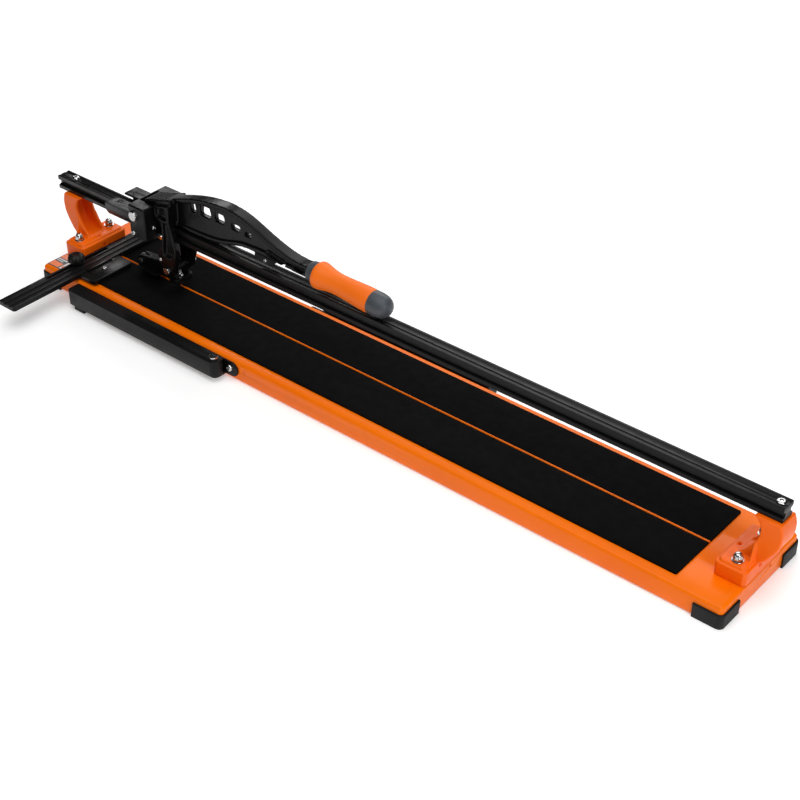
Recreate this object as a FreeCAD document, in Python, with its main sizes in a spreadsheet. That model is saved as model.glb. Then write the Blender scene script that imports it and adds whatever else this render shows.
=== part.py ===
"""Manual rail tile cutter for 1200 mm tiles, as an assembly of separate pieces.

Millimetres.  X runs along the rail, Y across the bed, Z up from the ground.  Pieces are
drawn about the middle of the bed, and node() moves each finished one into the shared
frame, whose origin is on the ground under the middle of the whole tool.  The driving
dimensions live in the spreadsheet "Dims"; every other size is worked out from them with
Size arithmetic, which keeps the number and the spreadsheet expression side by side.
"""
import FreeCAD, Part
import math
import os

import Sketcher
from FreeCAD import Placement, Rotation, Vector

DRIVING = (
    # bed
    ("bed_length", 1360.0, "pressed steel tray, along the rail"),
    ("bed_near", 102.5, "tray's near side from the rail's plane"),
    ("bed_far", 98.0, "tray's far side from the rail's plane"),
    ("bed_top", 35.5, "height of the tray's top face"),
    ("bed_lip", 3.0, "height of the tray's lower edge"),
    ("bed_wall", 2.0, "sheet thickness of the tray"),
    ("bed_round", 6.0, "outside radius of the tray's upper edges"),
    ("foot_run", 43.0, "length of a corner foot along each side"),
    ("foot_wall", 3.0, "rubber outside the tray"),
    ("foot_height", 24.0, "how far a corner foot climbs"),
    ("mat_thick", 3.0, "rubber mat"),
    ("mat_border", 82.0, "from the tray's end to the mats"),
    ("margin_near", 18.0, "from the tray's near side to the near mat"),
    ("margin_far", 13.5, "from the tray's far side to the far mat"),
    ("mat_corner", 2.0, "chamfer at a mat's corner"),
    ("ridge_width", 3.0, "breaking ridge between the mats"),
    ("ridge_proud", 1.0, "ridge above the mats"),
    # towers and rail
    ("tower_depth", 48.0, "foot block of a tower, along the rail"),
    ("tower_width", 100.0, "foot block of a tower, across"),
    ("tower_step", 22.5, "height of the foot block's outer step"),
    ("tower_raise", 4.0, "inner step above the outer one"),
    ("tower_corner", 4.0, "corner chamfer of the foot block"),
    ("horn_half", 19.5, "half width of the upright"),
    ("horn_wall", 5.0, "wall of the upright"),
    ("horn_bulge", 28.0, "how far the upright bulges past the foot block"),
    ("rail_under", 133.3, "height of the rail's underside"),
    ("rail_high", 24.0, "rail section, height"),
    ("rail_wide", 24.5, "rail section, width"),
    ("rail_web", 14.0, "rail section, width between the grooves"),
    ("rail_over_left", 43.5, "rail past the tray's left end"),
    ("rail_over_right", 21.0, "rail past the tray's right end"),
    ("rail_bolt_out", 10.0, "rail bolts past the tray's ends"),
    ("stud_inset", 22.0, "tower bolts inside the tray's ends"),
    ("stud_y", 34.0, "tower bolts from the middle, across"),
    ("stud_dia", 8.0, "tower and rail bolts"),
    # carriage
    ("block_inset", 175.0, "carriage block's left face from the tray's left end"),
    ("block_long", 38.0, "carriage block along the rail"),
    ("block_half", 43.0, "half width of the carriage block"),
    ("block_rise", 32.7, "carriage block above the rail"),
    ("block_skirt", 1.3, "carriage block below the rail's underside"),
    ("slot_half", 19.5, "half width of the lever's slot"),
    ("cover_long", 67.0, "bearing cover along the rail"),
    ("cover_half", 36.0, "outer face of the bearing covers"),
    ("cover_wall", 3.5, "wall of the bearing covers"),
    ("roller_radius", 9.5, "guide roller"),
    ("roller_thick", 6.0, "guide roller"),
    ("axle_dia", 6.0, "guide roller axle"),
    # lever
    ("pivot_in", 16.0, "lever pivot from the carriage block's left face"),
    ("pivot_rise", 16.7, "lever pivot above the rail"),
    ("pivot_dia", 10.0, "lever pivot bolt"),
    ("hub_radius", 11.0, "lever hub"),
    ("leg_gap", 14.0, "half gap between the lever's legs"),
    ("leg_thick", 12.0, "thickness of one leg"),
    ("web_half", 5.0, "half thickness of the lever's web"),
    ("shaft_ahead", 50.0, "cross shaft right of the pivot"),
    ("shaft_drop", 95.0, "cross shaft below the pivot"),
    ("shaft_dia", 8.0, "cross shaft"),
    ("grip_reach", 358.0, "grip collar's left end right of the pivot"),
    ("grip_rise", 12.2, "grip axis at the collar above the pivot"),
    ("grip_drop", 3.0, "slope of the grip axis, degrees down"),
    ("grip_long", 111.0, "orange sleeve"),
    ("grip_collar", 15.0, "collar length"),
    ("grip_cap", 35.0, "end cap length"),
    ("wheel_behind", 39.0, "scoring wheel left of the pivot"),
    ("wheel_drop", 116.0, "scoring wheel below the pivot, at rest"),
    ("wheel_radius", 11.0, "scoring wheel"),
    ("wheel_thick", 3.0, "scoring wheel"),
    ("foot_bar_half", 20.0, "half width of the breaking foot"),
    # fence
    ("fence_inset", 53.0, "fence bar's left edge from the tray's left end"),
    ("fence_wide", 39.0, "fence bar across its length"),
    ("fence_thick", 8.0, "fence bar"),
    ("fence_near", 238.0, "fence bar's near end, from the rail's plane"),
    ("fence_far", 97.0, "fence bar's far end, from the rail's plane"),
    ("stop_wide", 37.0, "side stop beside the fence bar"),
    ("knob_y", 75.0, "clamp knob, from the rail's plane"),
    ("knob_radius", 15.0, "clamp knob"),
    # support arms
    ("arm_out", 17.5, "arm pivot beyond the tray's side"),
    ("arm_pivot_x", 238.0, "near arm's pivot, left of the middle"),
    ("arm_mirror_x", 220.0, "the two arms are turned about this station"),
    ("arm_long", 342.0, "arm from its pivot to its free end"),
    ("arm_half", 13.0, "half width of an arm"),
    ("arm_under", 10.0, "height of an arm's lower edge"),
    ("arm_top", 38.0, "height of an arm's top"),
    # clearances
    ("running", 0.05, "radial clearance of a turning fit"),
    ("sliding", 0.3, "clearance of a sliding fit"),
    ("hole_play", 0.2, "radial clearance of a bolt in its hole"),
)


class Size:
    """A number together with the spreadsheet expression that gives it."""

    def __init__(self, value, text):
        self.value = float(value)
        self.text = text

    @staticmethod
    def of(other):
        """Wrap a plain number."""
        return other if isinstance(other, Size) else Size(other, "%.6g" % other)

    def _join(self, sign, other, value):
        return Size(value, "(%s %s %s)" % (self.text, sign, Size.of(other).text))

    def __add__(self, other):
        return self._join("+", other, self.value + Size.of(other).value)

    def __sub__(self, other):
        return self._join("-", other, self.value - Size.of(other).value)

    def __mul__(self, other):
        return self._join("*", other, self.value * Size.of(other).value)

    def __truediv__(self, other):
        return self._join("/", other, self.value / Size.of(other).value)

    def __radd__(self, other):
        return Size.of(other) + self

    def __rsub__(self, other):
        return Size.of(other) - self

    def __rmul__(self, other):
        return Size.of(other) * self

    def __neg__(self):
        return Size(-self.value, "(0 - %s)" % self.text)


doc = FreeCAD.newDocument("tile_cutter")
sheet = doc.addObject("Spreadsheet::Sheet", "Dims")


class Dims:
    """The driving dimensions, one Size each, named as in the spreadsheet."""


for row, (alias, number, note) in enumerate(DRIVING, start=1):
    sheet.set("A%d" % row, alias)
    sheet.set("B%d" % row, "%g" % number)
    sheet.set("C%d" % row, note)
    sheet.setAlias("B%d" % row, alias)
    setattr(Dims, alias, Size(number, "Dims.%s" % alias))
doc.recompute()
D = Dims

# Sizes that follow from the driving ones.
D.rail_left = D.bed_length / 2.0 + D.rail_over_left
D.rail_right = D.bed_length / 2.0 + D.rail_over_right
D.rail_bolt_x = D.bed_length / 2.0 + D.rail_bolt_out
D.stud_x = D.bed_length / 2.0 - D.stud_inset
D.block_left = D.bed_length / 2.0 - D.block_inset
D.fence_left = D.bed_length / 2.0 - D.fence_inset
D.pivot_x = D.block_left - D.pivot_in
D.shaft_x = D.pivot_x - D.shaft_ahead
D.wheel_x = D.pivot_x + D.wheel_behind
D.grip_start = D.pivot_x - D.grip_reach
D.block_top = D.rail_under + D.rail_high + D.block_rise
D.block_under = D.rail_under - D.block_skirt
D.pivot_z = D.rail_under + D.rail_high + D.pivot_rise
D.shaft_z = D.pivot_z - D.shaft_drop
D.wheel_z = D.pivot_z - D.wheel_drop
D.grip_z = D.pivot_z + D.grip_rise

NODES = []

# The bed's middle seen from the middle of the whole tool, which the rail's left end,
# the right tower, the fence bar's near end and the far arm bound.
FRAME_X = (D.rail_left - D.bed_length / 2.0 - D.horn_bulge) / 2.0
FRAME_Y = (D.fence_near - D.bed_far - D.arm_out - D.arm_half) / 2.0


def node(obj, label):
    """Name a finished sub-part and move it from the bed's middle into the shared frame."""
    obj.Label = label
    drawn = {path.lstrip("."): text for path, text in obj.ExpressionEngine}
    for axis, shift in (("x", FRAME_X), ("y", FRAME_Y)):
        path = "Placement.Base.%s" % axis
        obj.setExpression("." + path, "%s + %s" % (drawn.get(path, "0"), shift.text))
    NODES.append(obj)
    return obj


def bind(obj, **sizes):
    """Tie properties to expressions; x, y and z stand for the placement's base."""
    for name, size in sizes.items():
        path = ".Placement.Base.%s" % name if name in ("x", "y", "z") else name
        obj.setExpression(path, Size.of(size).text)
    return obj


def box(low, high):
    """A block between two corners, each three sizes."""
    solid = doc.addObject("Part::Box", "Block")
    spans = [Size.of(b) - a for a, b in zip(low, high)]
    return bind(solid, Length=spans[0], Width=spans[1], Height=spans[2],
                x=low[0], y=low[1], z=low[2])


TURN = {
    "X": Rotation(Vector(0, 1, 0), 90),
    "Y": Rotation(Vector(1, 0, 0), -90),
    "Z": Rotation(),
}


def rod(axis, start, radius, length):
    """A cylinder from a start point along +axis."""
    solid = doc.addObject("Part::Cylinder", "Rod")
    solid.Placement = Placement(Vector(), TURN[axis])
    return bind(solid, Radius=radius, Height=length, x=start[0], y=start[1], z=start[2])


def hexagon(axis, start, across_flats, length):
    """A hexagonal head or nut from a start point along +axis."""
    solid = doc.addObject("Part::Prism", "Hex")
    solid.Polygon = 6
    solid.Placement = Placement(Vector(), TURN[axis])
    radius = Size.of(across_flats) / math.sqrt(3.0)
    return bind(solid, Circumradius=radius, Height=length, x=start[0], y=start[1], z=start[2])


def dome(centre, radius, height, axis="Z", upward=True):
    """A spherical cap standing on a point; the cap's own radius is at its foot."""
    sphere = doc.addObject("Part::Sphere", "Dome")
    ball = (Size.of(radius) * radius + Size.of(height) * height) / (Size.of(height) * 2.0)
    sink = ball - height
    along = "XYZ".index(axis)
    place = list(centre)
    place[along] = Size.of(place[along]) - sink if upward else Size.of(place[along]) + sink
    bind(sphere, Radius=ball, x=place[0], y=place[1], z=place[2])
    low = [Size.of(c) - Size.of(radius) - 1.0 for c in centre]
    high = [Size.of(c) + Size.of(radius) + 1.0 for c in centre]
    if upward:
        low[along] = Size.of(centre[along])
    else:
        high[along] = Size.of(centre[along])
    return common(sphere, box(low, high))


def common(first, second):
    """What two solids share."""
    obj = doc.addObject("Part::Common", "Common")
    obj.Base = first
    obj.Tool = second
    return obj


def fuse(*pieces):
    """One solid out of several that touch."""
    obj = doc.addObject("Part::MultiFuse", "Fuse")
    obj.Shapes = list(pieces)
    obj.Refine = True
    return obj


def cut(base, *tools):
    """A solid less other solids."""
    obj = doc.addObject("Part::Cut", "Cut")
    obj.Base = base
    obj.Tool = tools[0] if len(tools) == 1 else fuse(*tools)
    return obj


def group(*pieces):
    """Separate solids of one kind, kept as one node."""
    obj = doc.addObject("Part::Compound", "Group")
    obj.Links = list(pieces)
    return obj


def rounded(base, radius, chosen):
    """Round the edges that a test picks."""
    doc.recompute()
    obj = doc.addObject("Part::Fillet", "Round")
    obj.Base = base
    obj.Edges = [(i, radius.value, radius.value)
                 for i, edge in enumerate(base.Shape.Edges, start=1) if chosen(edge)]
    return obj


def bevelled(base, size, chosen):
    """Chamfer the edges that a test picks."""
    doc.recompute()
    obj = doc.addObject("Part::Chamfer", "Bevel")
    obj.Base = base
    obj.Edges = [(i, size.value, size.value)
                 for i, edge in enumerate(base.Shape.Edges, start=1) if chosen(edge)]
    return obj


def origin_plane(body, role):
    """One of a body's own origin planes."""
    for feature in body.Origin.OriginFeatures:
        if feature.Role == role:
            return feature
    raise ValueError(role)


PLANES = {"XY": ("XY_Plane", 1.0), "XZ": ("XZ_Plane", -1.0), "YZ": ("YZ_Plane", 1.0)}


def outline(body, plane, offset, points):
    """A closed sketch through points whose places are bound to the sheet."""
    role, side = PLANES[plane]
    sketch = body.newObject("Sketcher::SketchObject", "Outline")
    sketch.AttachmentSupport = [(origin_plane(body, role), "")]
    sketch.MapMode = "FlatFace"
    sketch.setExpression(".AttachmentOffset.Base.z", (Size.of(offset) * side).text)
    count = len(points)
    spots = [Vector(Size.of(a).value, Size.of(b).value, 0) for a, b in points]
    for i in range(count):
        sketch.addGeometry(Part.LineSegment(spots[i], spots[(i + 1) % count]))
    for i in range(count):
        sketch.addConstraint(Sketcher.Constraint("Coincident", i, 2, (i + 1) % count, 1))
    for i, (a, b) in enumerate(points):
        for kind, size in (("DistanceX", Size.of(a)), ("DistanceY", Size.of(b))):
            index = sketch.addConstraint(Sketcher.Constraint(kind, -1, 1, i, 1, size.value))
            sketch.setExpression("Constraints[%d]" % index, size.text)
    return sketch


def prism(plane, low, high, points):
    """A body: an outline padded from low to high along the plane's own axis."""
    body = doc.addObject("PartDesign::Body", "Prism")
    start = high if plane == "XZ" else low
    sketch = outline(body, plane, start, points)
    pad = body.newObject("PartDesign::Pad", "Pad")
    pad.Profile = sketch
    pad.setExpression("Length", (Size.of(high) - low).text)
    return body


def lathe(points, tilt=None, spot=None, axis="Z"):
    """A body turned about its own axis from (radius, height) points."""
    body = doc.addObject("PartDesign::Body", "Turned")
    sketch = outline(body, "XZ", 0.0, points)
    turn = body.newObject("PartDesign::Revolution", "Turn")
    turn.Profile = sketch
    turn.ReferenceAxis = (sketch, ["V_Axis"])
    turn.Angle = 360.0
    body.Placement = Placement(Vector(), tilt if tilt else TURN[axis])
    if spot:
        bind(body, x=spot[0], y=spot[1], z=spot[2])
    return body


def flowing(points, steps=4):
    """The points with more put between them, so that the line through them flows."""
    first, last = points[0], points[-1]
    held = [first] + list(points) + [last]
    line = []
    for i in range(1, len(held) - 2):
        for k in range(steps):
            t = k / float(steps)
            weights = (-0.5 * t + t * t - 0.5 * t ** 3, 1.0 - 2.5 * t * t + 1.5 * t ** 3,
                       0.5 * t + 2.0 * t * t - 1.5 * t ** 3, 0.5 * t ** 3 - 0.5 * t * t)
            if k == 0:
                line.append(held[i])
                continue
            spot = []
            for axis in (0, 1):
                parts = [Size.of(held[i - 1 + j][axis]) * round(weights[j], 6) for j in range(4)]
                spot.append(parts[0] + parts[1] + parts[2] + parts[3])
            line.append(tuple(spot))
    line.append(last)
    return line


def runs_along(edge, axis):
    """Whether an edge is a straight line along an axis."""
    box_ = edge.BoundBox
    spans = {"X": box_.XLength, "Y": box_.YLength, "Z": box_.ZLength}
    length = spans.pop(axis)
    return length > 0.5 and max(spans.values()) < 0.01


# Places that several pieces share.
HALF_BED = D.bed_length / 2.0
SIDE_BED = {-1: D.bed_near, 1: D.bed_far}
MAT_SIDE = {-1: D.bed_near - D.margin_near, 1: D.bed_far - D.margin_far}
MAT_TOP = D.bed_top + D.mat_thick
MAT_END = HALF_BED - D.mat_border
RAIL_TOP = D.rail_under + D.rail_high
RAIL_HALF = D.rail_wide / 2.0
RAIL_MID = D.rail_under + 11.5
STEP_TOP = D.bed_top + D.tower_step
SEAT_TOP = STEP_TOP + D.tower_raise
TOWER_NEAR_X = HALF_BED - D.tower_depth
BOLT_HOLE = D.stud_dia / 2.0 + D.hole_play
BLOCK_LEFT = -D.block_left
BLOCK_RIGHT = BLOCK_LEFT + D.block_long
PIVOT = (-D.pivot_x, D.pivot_z)
SHAFT = (-D.shaft_x, D.shaft_z)
WHEEL = (-D.wheel_x, D.wheel_z)
FENCE_X0 = -D.fence_left
FENCE_X1 = FENCE_X0 + D.fence_wide
FENCE_Z0 = MAT_TOP + D.ridge_proud + D.sliding
FENCE_Z1 = FENCE_Z0 + D.fence_thick
EPS = 1.0


def bed():
    """Pressed tray with its mats, breaking ridge and rubber corners."""
    near, far = -D.bed_near, D.bed_far
    skin = box((-HALF_BED, near, D.bed_lip), (HALF_BED, far, D.bed_top))
    top = D.bed_top.value

    def outer_edge(edge):
        upper = edge.BoundBox.ZMin > top - 0.01
        return upper or runs_along(edge, "Z")

    shell = rounded(skin, D.bed_round, outer_edge)
    hollow = box((D.bed_wall - HALF_BED, near + D.bed_wall, D.bed_lip - EPS),
                 (HALF_BED - D.bed_wall, far - D.bed_wall, D.bed_top - D.bed_wall))
    lined = rounded(hollow, D.bed_round - D.bed_wall,
                    lambda edge: edge.BoundBox.ZMin > top - 3.0 or runs_along(edge, "Z"))
    tools = [lined]
    for side_x in (-1, 1):
        for side_y in (-1, 1):
            tools.append(rod("Z", (D.stud_x * side_x, D.stud_y * side_y, D.bed_top - 8.0),
                             BOLT_HOLE, 16.0))
    tools.append(rod("Z", (FENCE_X0 + 7.0, -D.knob_y, D.bed_top - 8.0),
                     3.0 + D.hole_play, 16.0))
    for x, side in ((-(D.arm_mirror_x) + 1.0, -1), (-(D.arm_mirror_x) - 1.0, 1)):
        tools.append(rod("Y", (x, SIDE_BED[side] * side - 8.0, 21.0), 3.0 + D.hole_play, 16.0))
    tools.append(rod("Y", (-190.0, near - 8.0, 22.0), 2.0, 16.0))
    tools.append(rod("X", (HALF_BED - 8.0, 21.0, 28.0), 2.5, 16.0))
    node(cut(shell, *tools), "base_tray")

    inner = D.ridge_width / 2.0 + 0.5
    for name, side in (("mat_near", -1), ("mat_far", 1)):
        c = D.mat_corner
        outer = MAT_SIDE[side]
        points = [(-MAT_END, inner * side), (MAT_END, inner * side),
                  (MAT_END, (outer - c) * side), (MAT_END - c, outer * side),
                  (c - MAT_END, outer * side), (-MAT_END, (outer - c) * side)]
        node(prism("XY", D.bed_top, MAT_TOP, points), name)

    half = D.ridge_width / 2.0
    crest = MAT_TOP + D.ridge_proud
    points = [(-half, D.bed_top), (half, D.bed_top), (half, crest - 1.0), (half - 1.0, crest),
              (1.0 - half, crest), (-half, crest - 1.0)]
    node(prism("YZ", -MAT_END, MAT_END, points), "breaking_ridge")

    for end, side_x in (("left", -1), ("right", 1)):
        for side, side_y in (("near", -1), ("far", 1)):
            node(corner_foot(side_x, side_y), "corner_foot_%s_%s" % (side, end))

    label = box((-HALF_BED + 4.0, near + 7.0, D.bed_top),
                (-HALF_BED + 48.0, -(D.tower_width / 2.0 + 2.5), D.bed_top + 0.3))
    node(label, "label_plate")


def corner_foot(side_x, side_y):
    """An L of rubber round one corner of the tray, with a sole under it."""
    out_x = HALF_BED + D.foot_wall
    bed_y = SIDE_BED[side_y]
    out_y = bed_y + D.foot_wall
    in_x = HALF_BED - D.foot_run
    in_y = bed_y - D.foot_run

    def pair(a, b, side):
        return (a, b) if side > 0 else (-b, -a)

    x0, x1 = pair(in_x, out_x, side_x)
    y0, y1 = pair(in_y, out_y, side_y)
    solid = box((x0, y0, 0.0), (x1, y1, D.foot_height))
    corner = Vector((out_x * side_x).value, (out_y * side_y).value, 0)
    top = D.foot_height.value

    def outer(edge):
        middle = edge.BoundBox.Center
        at_corner = abs(middle.x - corner.x) < 0.01 and abs(middle.y - corner.y) < 0.01
        return at_corner and runs_along(edge, "Z")

    solid = rounded(solid, D.bed_round + D.foot_wall, outer)
    u0, u1 = pair(in_x - EPS, HALF_BED, side_x)
    v0, v1 = pair(in_y - EPS, bed_y, side_y)
    hollow = box((u0, v0, D.bed_lip), (u1, v1, D.foot_height + EPS))
    inside = Vector((HALF_BED * side_x).value, (bed_y * side_y).value, 0)

    def inner(edge):
        middle = edge.BoundBox.Center
        at_corner = abs(middle.x - inside.x) < 0.01 and abs(middle.y - inside.y) < 0.01
        return at_corner and runs_along(edge, "Z")

    hollow = rounded(hollow, D.bed_round, inner)
    shell = cut(solid, hollow)
    doc.recompute()
    return bevelled(shell, Size.of(1.2),
                    lambda edge: edge.BoundBox.ZMin > top - 0.01 and outside(edge, corner))


def outside(edge, corner):
    """Whether an upper edge lies on a foot's outer faces."""
    middle = edge.BoundBox.Center
    return abs(middle.x - corner.x) < 0.01 or abs(middle.y - corner.y) < 0.01


def towers():
    """The two castings that carry the rail, with their bolts."""
    bolts = []
    washers = []
    nuts = []
    for name, side in (("tower_left", -1), ("tower_right", 1)):
        near_x = TOWER_NEAR_X * side
        far_x = HALF_BED * side
        half = D.tower_width / 2.0
        c = D.tower_corner

        def plan(inset):
            ax = near_x + inset * side
            bx = far_x - inset * side
            w = half - inset
            step = c * side
            return [(ax, c - w), (ax + step, -w), (bx - step, -w), (bx, c - w),
                    (bx, w - c), (bx - step, w), (ax + step, w), (ax, w - c)]

        block = prism("XY", D.bed_top, STEP_TOP, plan(Size.of(0.0)))
        seat = prism("XY", D.bed_top, SEAT_TOP, plan(D.tower_raise))
        horn = prism("XZ", -D.horn_half, D.horn_half, horn_outline(side))
        pocket = prism("XZ", D.horn_wall - D.horn_half, D.horn_half - D.horn_wall,
                       horn_pocket(side))
        ribs = [gusset(side, way) for way in (-1, 1)]
        solid = cut(fuse(block, seat, horn, *ribs), pocket)
        tools = [rod("Z", (D.stud_x * side, D.stud_y * way, D.bed_top - EPS), BOLT_HOLE, 40.0)
                 for way in (-1, 1)]
        tools.append(rod("Z", (D.rail_bolt_x * side, 0.0, D.rail_under - 20.0), BOLT_HOLE, 40.0))
        inner_face = near_x - EPS if side > 0 else near_x - 8.0 + EPS
        tools.append(rod("X", (inner_face, 0.0, 47.0), 3.5, 8.0))
        outer_face = far_x - 8.0 + EPS if side > 0 else far_x - EPS
        tools.append(rod("X", (outer_face, -10.5, 50.5), 3.0, 8.0))
        tools.append(rod("Z", (near_x + 11.0 * side, -3.0, SEAT_TOP - 6.0), 2.5, 8.0))
        node(cut(solid, *tools), name)
        for way in (-1, 1):
            spot = (D.stud_x * side, D.stud_y * way)
            bolts.append(fuse(hexagon("Z", (spot[0], spot[1], D.bed_top - D.bed_wall - 5.5),
                                      13.0, 5.5),
                              rod("Z", (spot[0], spot[1], D.bed_top - D.bed_wall - 5.5),
                                  D.stud_dia / 2.0, SEAT_TOP - D.bed_top + D.bed_wall + 11.0)))
            ring = cut(rod("Z", (spot[0], spot[1], SEAT_TOP), 8.5, 1.6),
                       rod("Z", (spot[0], spot[1], SEAT_TOP - EPS), BOLT_HOLE, 4.0))
            washers.append(ring)
            foot = SEAT_TOP + 1.6
            cap = fuse(hexagon("Z", (spot[0], spot[1], foot), 13.0, 6.0),
                       dome((spot[0], spot[1], foot + 6.0), 6.2, 5.2))
            bore = rod("Z", (spot[0], spot[1], foot - EPS), D.stud_dia / 2.0, 5.9)
            nuts.append(cut(cap, bore))
    node(group(*bolts), "tower_bolts")
    node(group(*washers), "tower_washers")
    node(group(*nuts), "tower_cap_nuts")


def climb(share):
    """A height between a foot block's seat and the rail, as a share of the way up."""
    return SEAT_TOP + (D.rail_under - SEAT_TOP) * share


def horn_outline(side):
    """Side view of an upright: it leans outwards from the foot block to the rail."""
    far = HALF_BED + D.horn_bulge
    low_foot = D.bed_top + 6.0
    outer = flowing([(HALF_BED - 2.0, low_foot), (far - 27.0, SEAT_TOP - 4.0),
                     (far - 18.5, climb(0.07)), (far - 9.0, climb(0.28)),
                     (far - 2.0, climb(0.49)), (far, climb(0.70)), (far - 1.1, climb(0.855)),
                     (far - 4.5, D.rail_under)], 3)
    inner = flowing([(far - 45.0, D.rail_under), (far - 38.0, climb(0.925)),
                     (far - 34.5, climb(0.84)), (far - 32.0, climb(0.70)),
                     (far - 34.0, climb(0.52)), (far - 41.0, climb(0.32)),
                     (far - 50.0, climb(0.126)), (far - 58.0, SEAT_TOP),
                     (TOWER_NEAR_X + 8.0, low_foot)], 3)
    return [(x * side, z) for x, z in outer + inner]


def horn_pocket(side):
    """The hollow of an upright, open towards the middle of the bed."""
    far = HALF_BED + D.horn_bulge
    wall = D.horn_wall
    line = flowing([(far - 62.0, SEAT_TOP + 1.5), (far - 45.0, SEAT_TOP + 1.8),
                    (far - 33.0, SEAT_TOP + 3.5), (far - 21.0, climb(0.12)),
                    (far - 13.5, climb(0.28)), (far - wall - 2.2, climb(0.49)),
                    (far - wall, climb(0.70)), (far - wall - 1.5, climb(0.84))], 3)
    ceiling = D.rail_under - wall
    line += [(far - wall - 3.0, ceiling - 1.0), (far - 28.0, ceiling - 1.0),
             (far - 32.0, ceiling), (far - 62.0, ceiling)]
    return [(x * side, z) for x, z in line]


def gusset(side, way):
    """A thin rib from the foot block's seat up the upright's flank."""
    x = D.stud_x + 12.0
    span = (x, x + 4.0) if side > 0 else (-x - 4.0, -x)
    root = D.horn_half - 1.0
    points = [(root, SEAT_TOP - 1.0), (D.horn_half + 10.0, SEAT_TOP - 1.0),
              (D.horn_half + 7.0, climb(0.10)), (D.horn_half + 2.5, climb(0.30)),
              (D.horn_half, climb(0.42)), (root, climb(0.42))]
    return prism("YZ", span[0], span[1], [(Size.of(y) * way, z) for y, z in points])


def rail():
    """Extruded rail with a groove for the rollers on each side."""
    r, w = RAIL_HALF, D.rail_web / 2.0
    z0, z1 = D.rail_under, RAIL_TOP
    half = [(r, z0), (r, z0 + 6.2), (w, z0 + 8.0), (w, z0 + 15.0), (r, z0 + 17.0),
            (r, z1), (8.5, z1), (8.0, z1 - 0.8), (4.0, z1 - 0.8), (3.5, z1)]
    points = half + [(-Size.of(y), z) for y, z in reversed(half)]
    solid = prism("YZ", -D.rail_left, D.rail_right, points)
    holes = [rod("Z", (D.rail_bolt_x * side, 0.0, D.rail_under - EPS), BOLT_HOLE, 30.0)
             for side in (-1, 1)]
    node(cut(solid, *holes), "rail")
    bolts = []
    nuts = []
    for side in (-1, 1):
        x = D.rail_bolt_x * side
        head = dome((x, 0.0, RAIL_TOP), 7.0, 1.6 if side > 0 else 4.2)
        plate_low = D.rail_under - D.horn_wall - 1.0
        shank = rod("Z", (x, 0.0, plate_low - 9.0), D.stud_dia / 2.0,
                    D.rail_high + D.horn_wall + 10.2)
        bolts.append(fuse(head, shank))
        nuts.append(cut(hexagon("Z", (x, 0.0, plate_low - 6.5), 13.0, 6.5),
                        rod("Z", (x, 0.0, plate_low - 7.5), D.stud_dia / 2.0, 9.0)))
    node(group(*bolts), "rail_bolts")
    node(group(*nuts), "rail_nuts")


ROLLER_X = (BLOCK_LEFT - 16.0, BLOCK_LEFT - 51.0)
ROLLER_Y = D.rail_web / 2.0 + D.roller_radius + 0.1
ROLLER_Z0 = RAIL_MID - D.roller_thick / 2.0
COVER_TOP = RAIL_TOP + 9.7
COVER_LEFT = BLOCK_LEFT - D.cover_long


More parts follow.
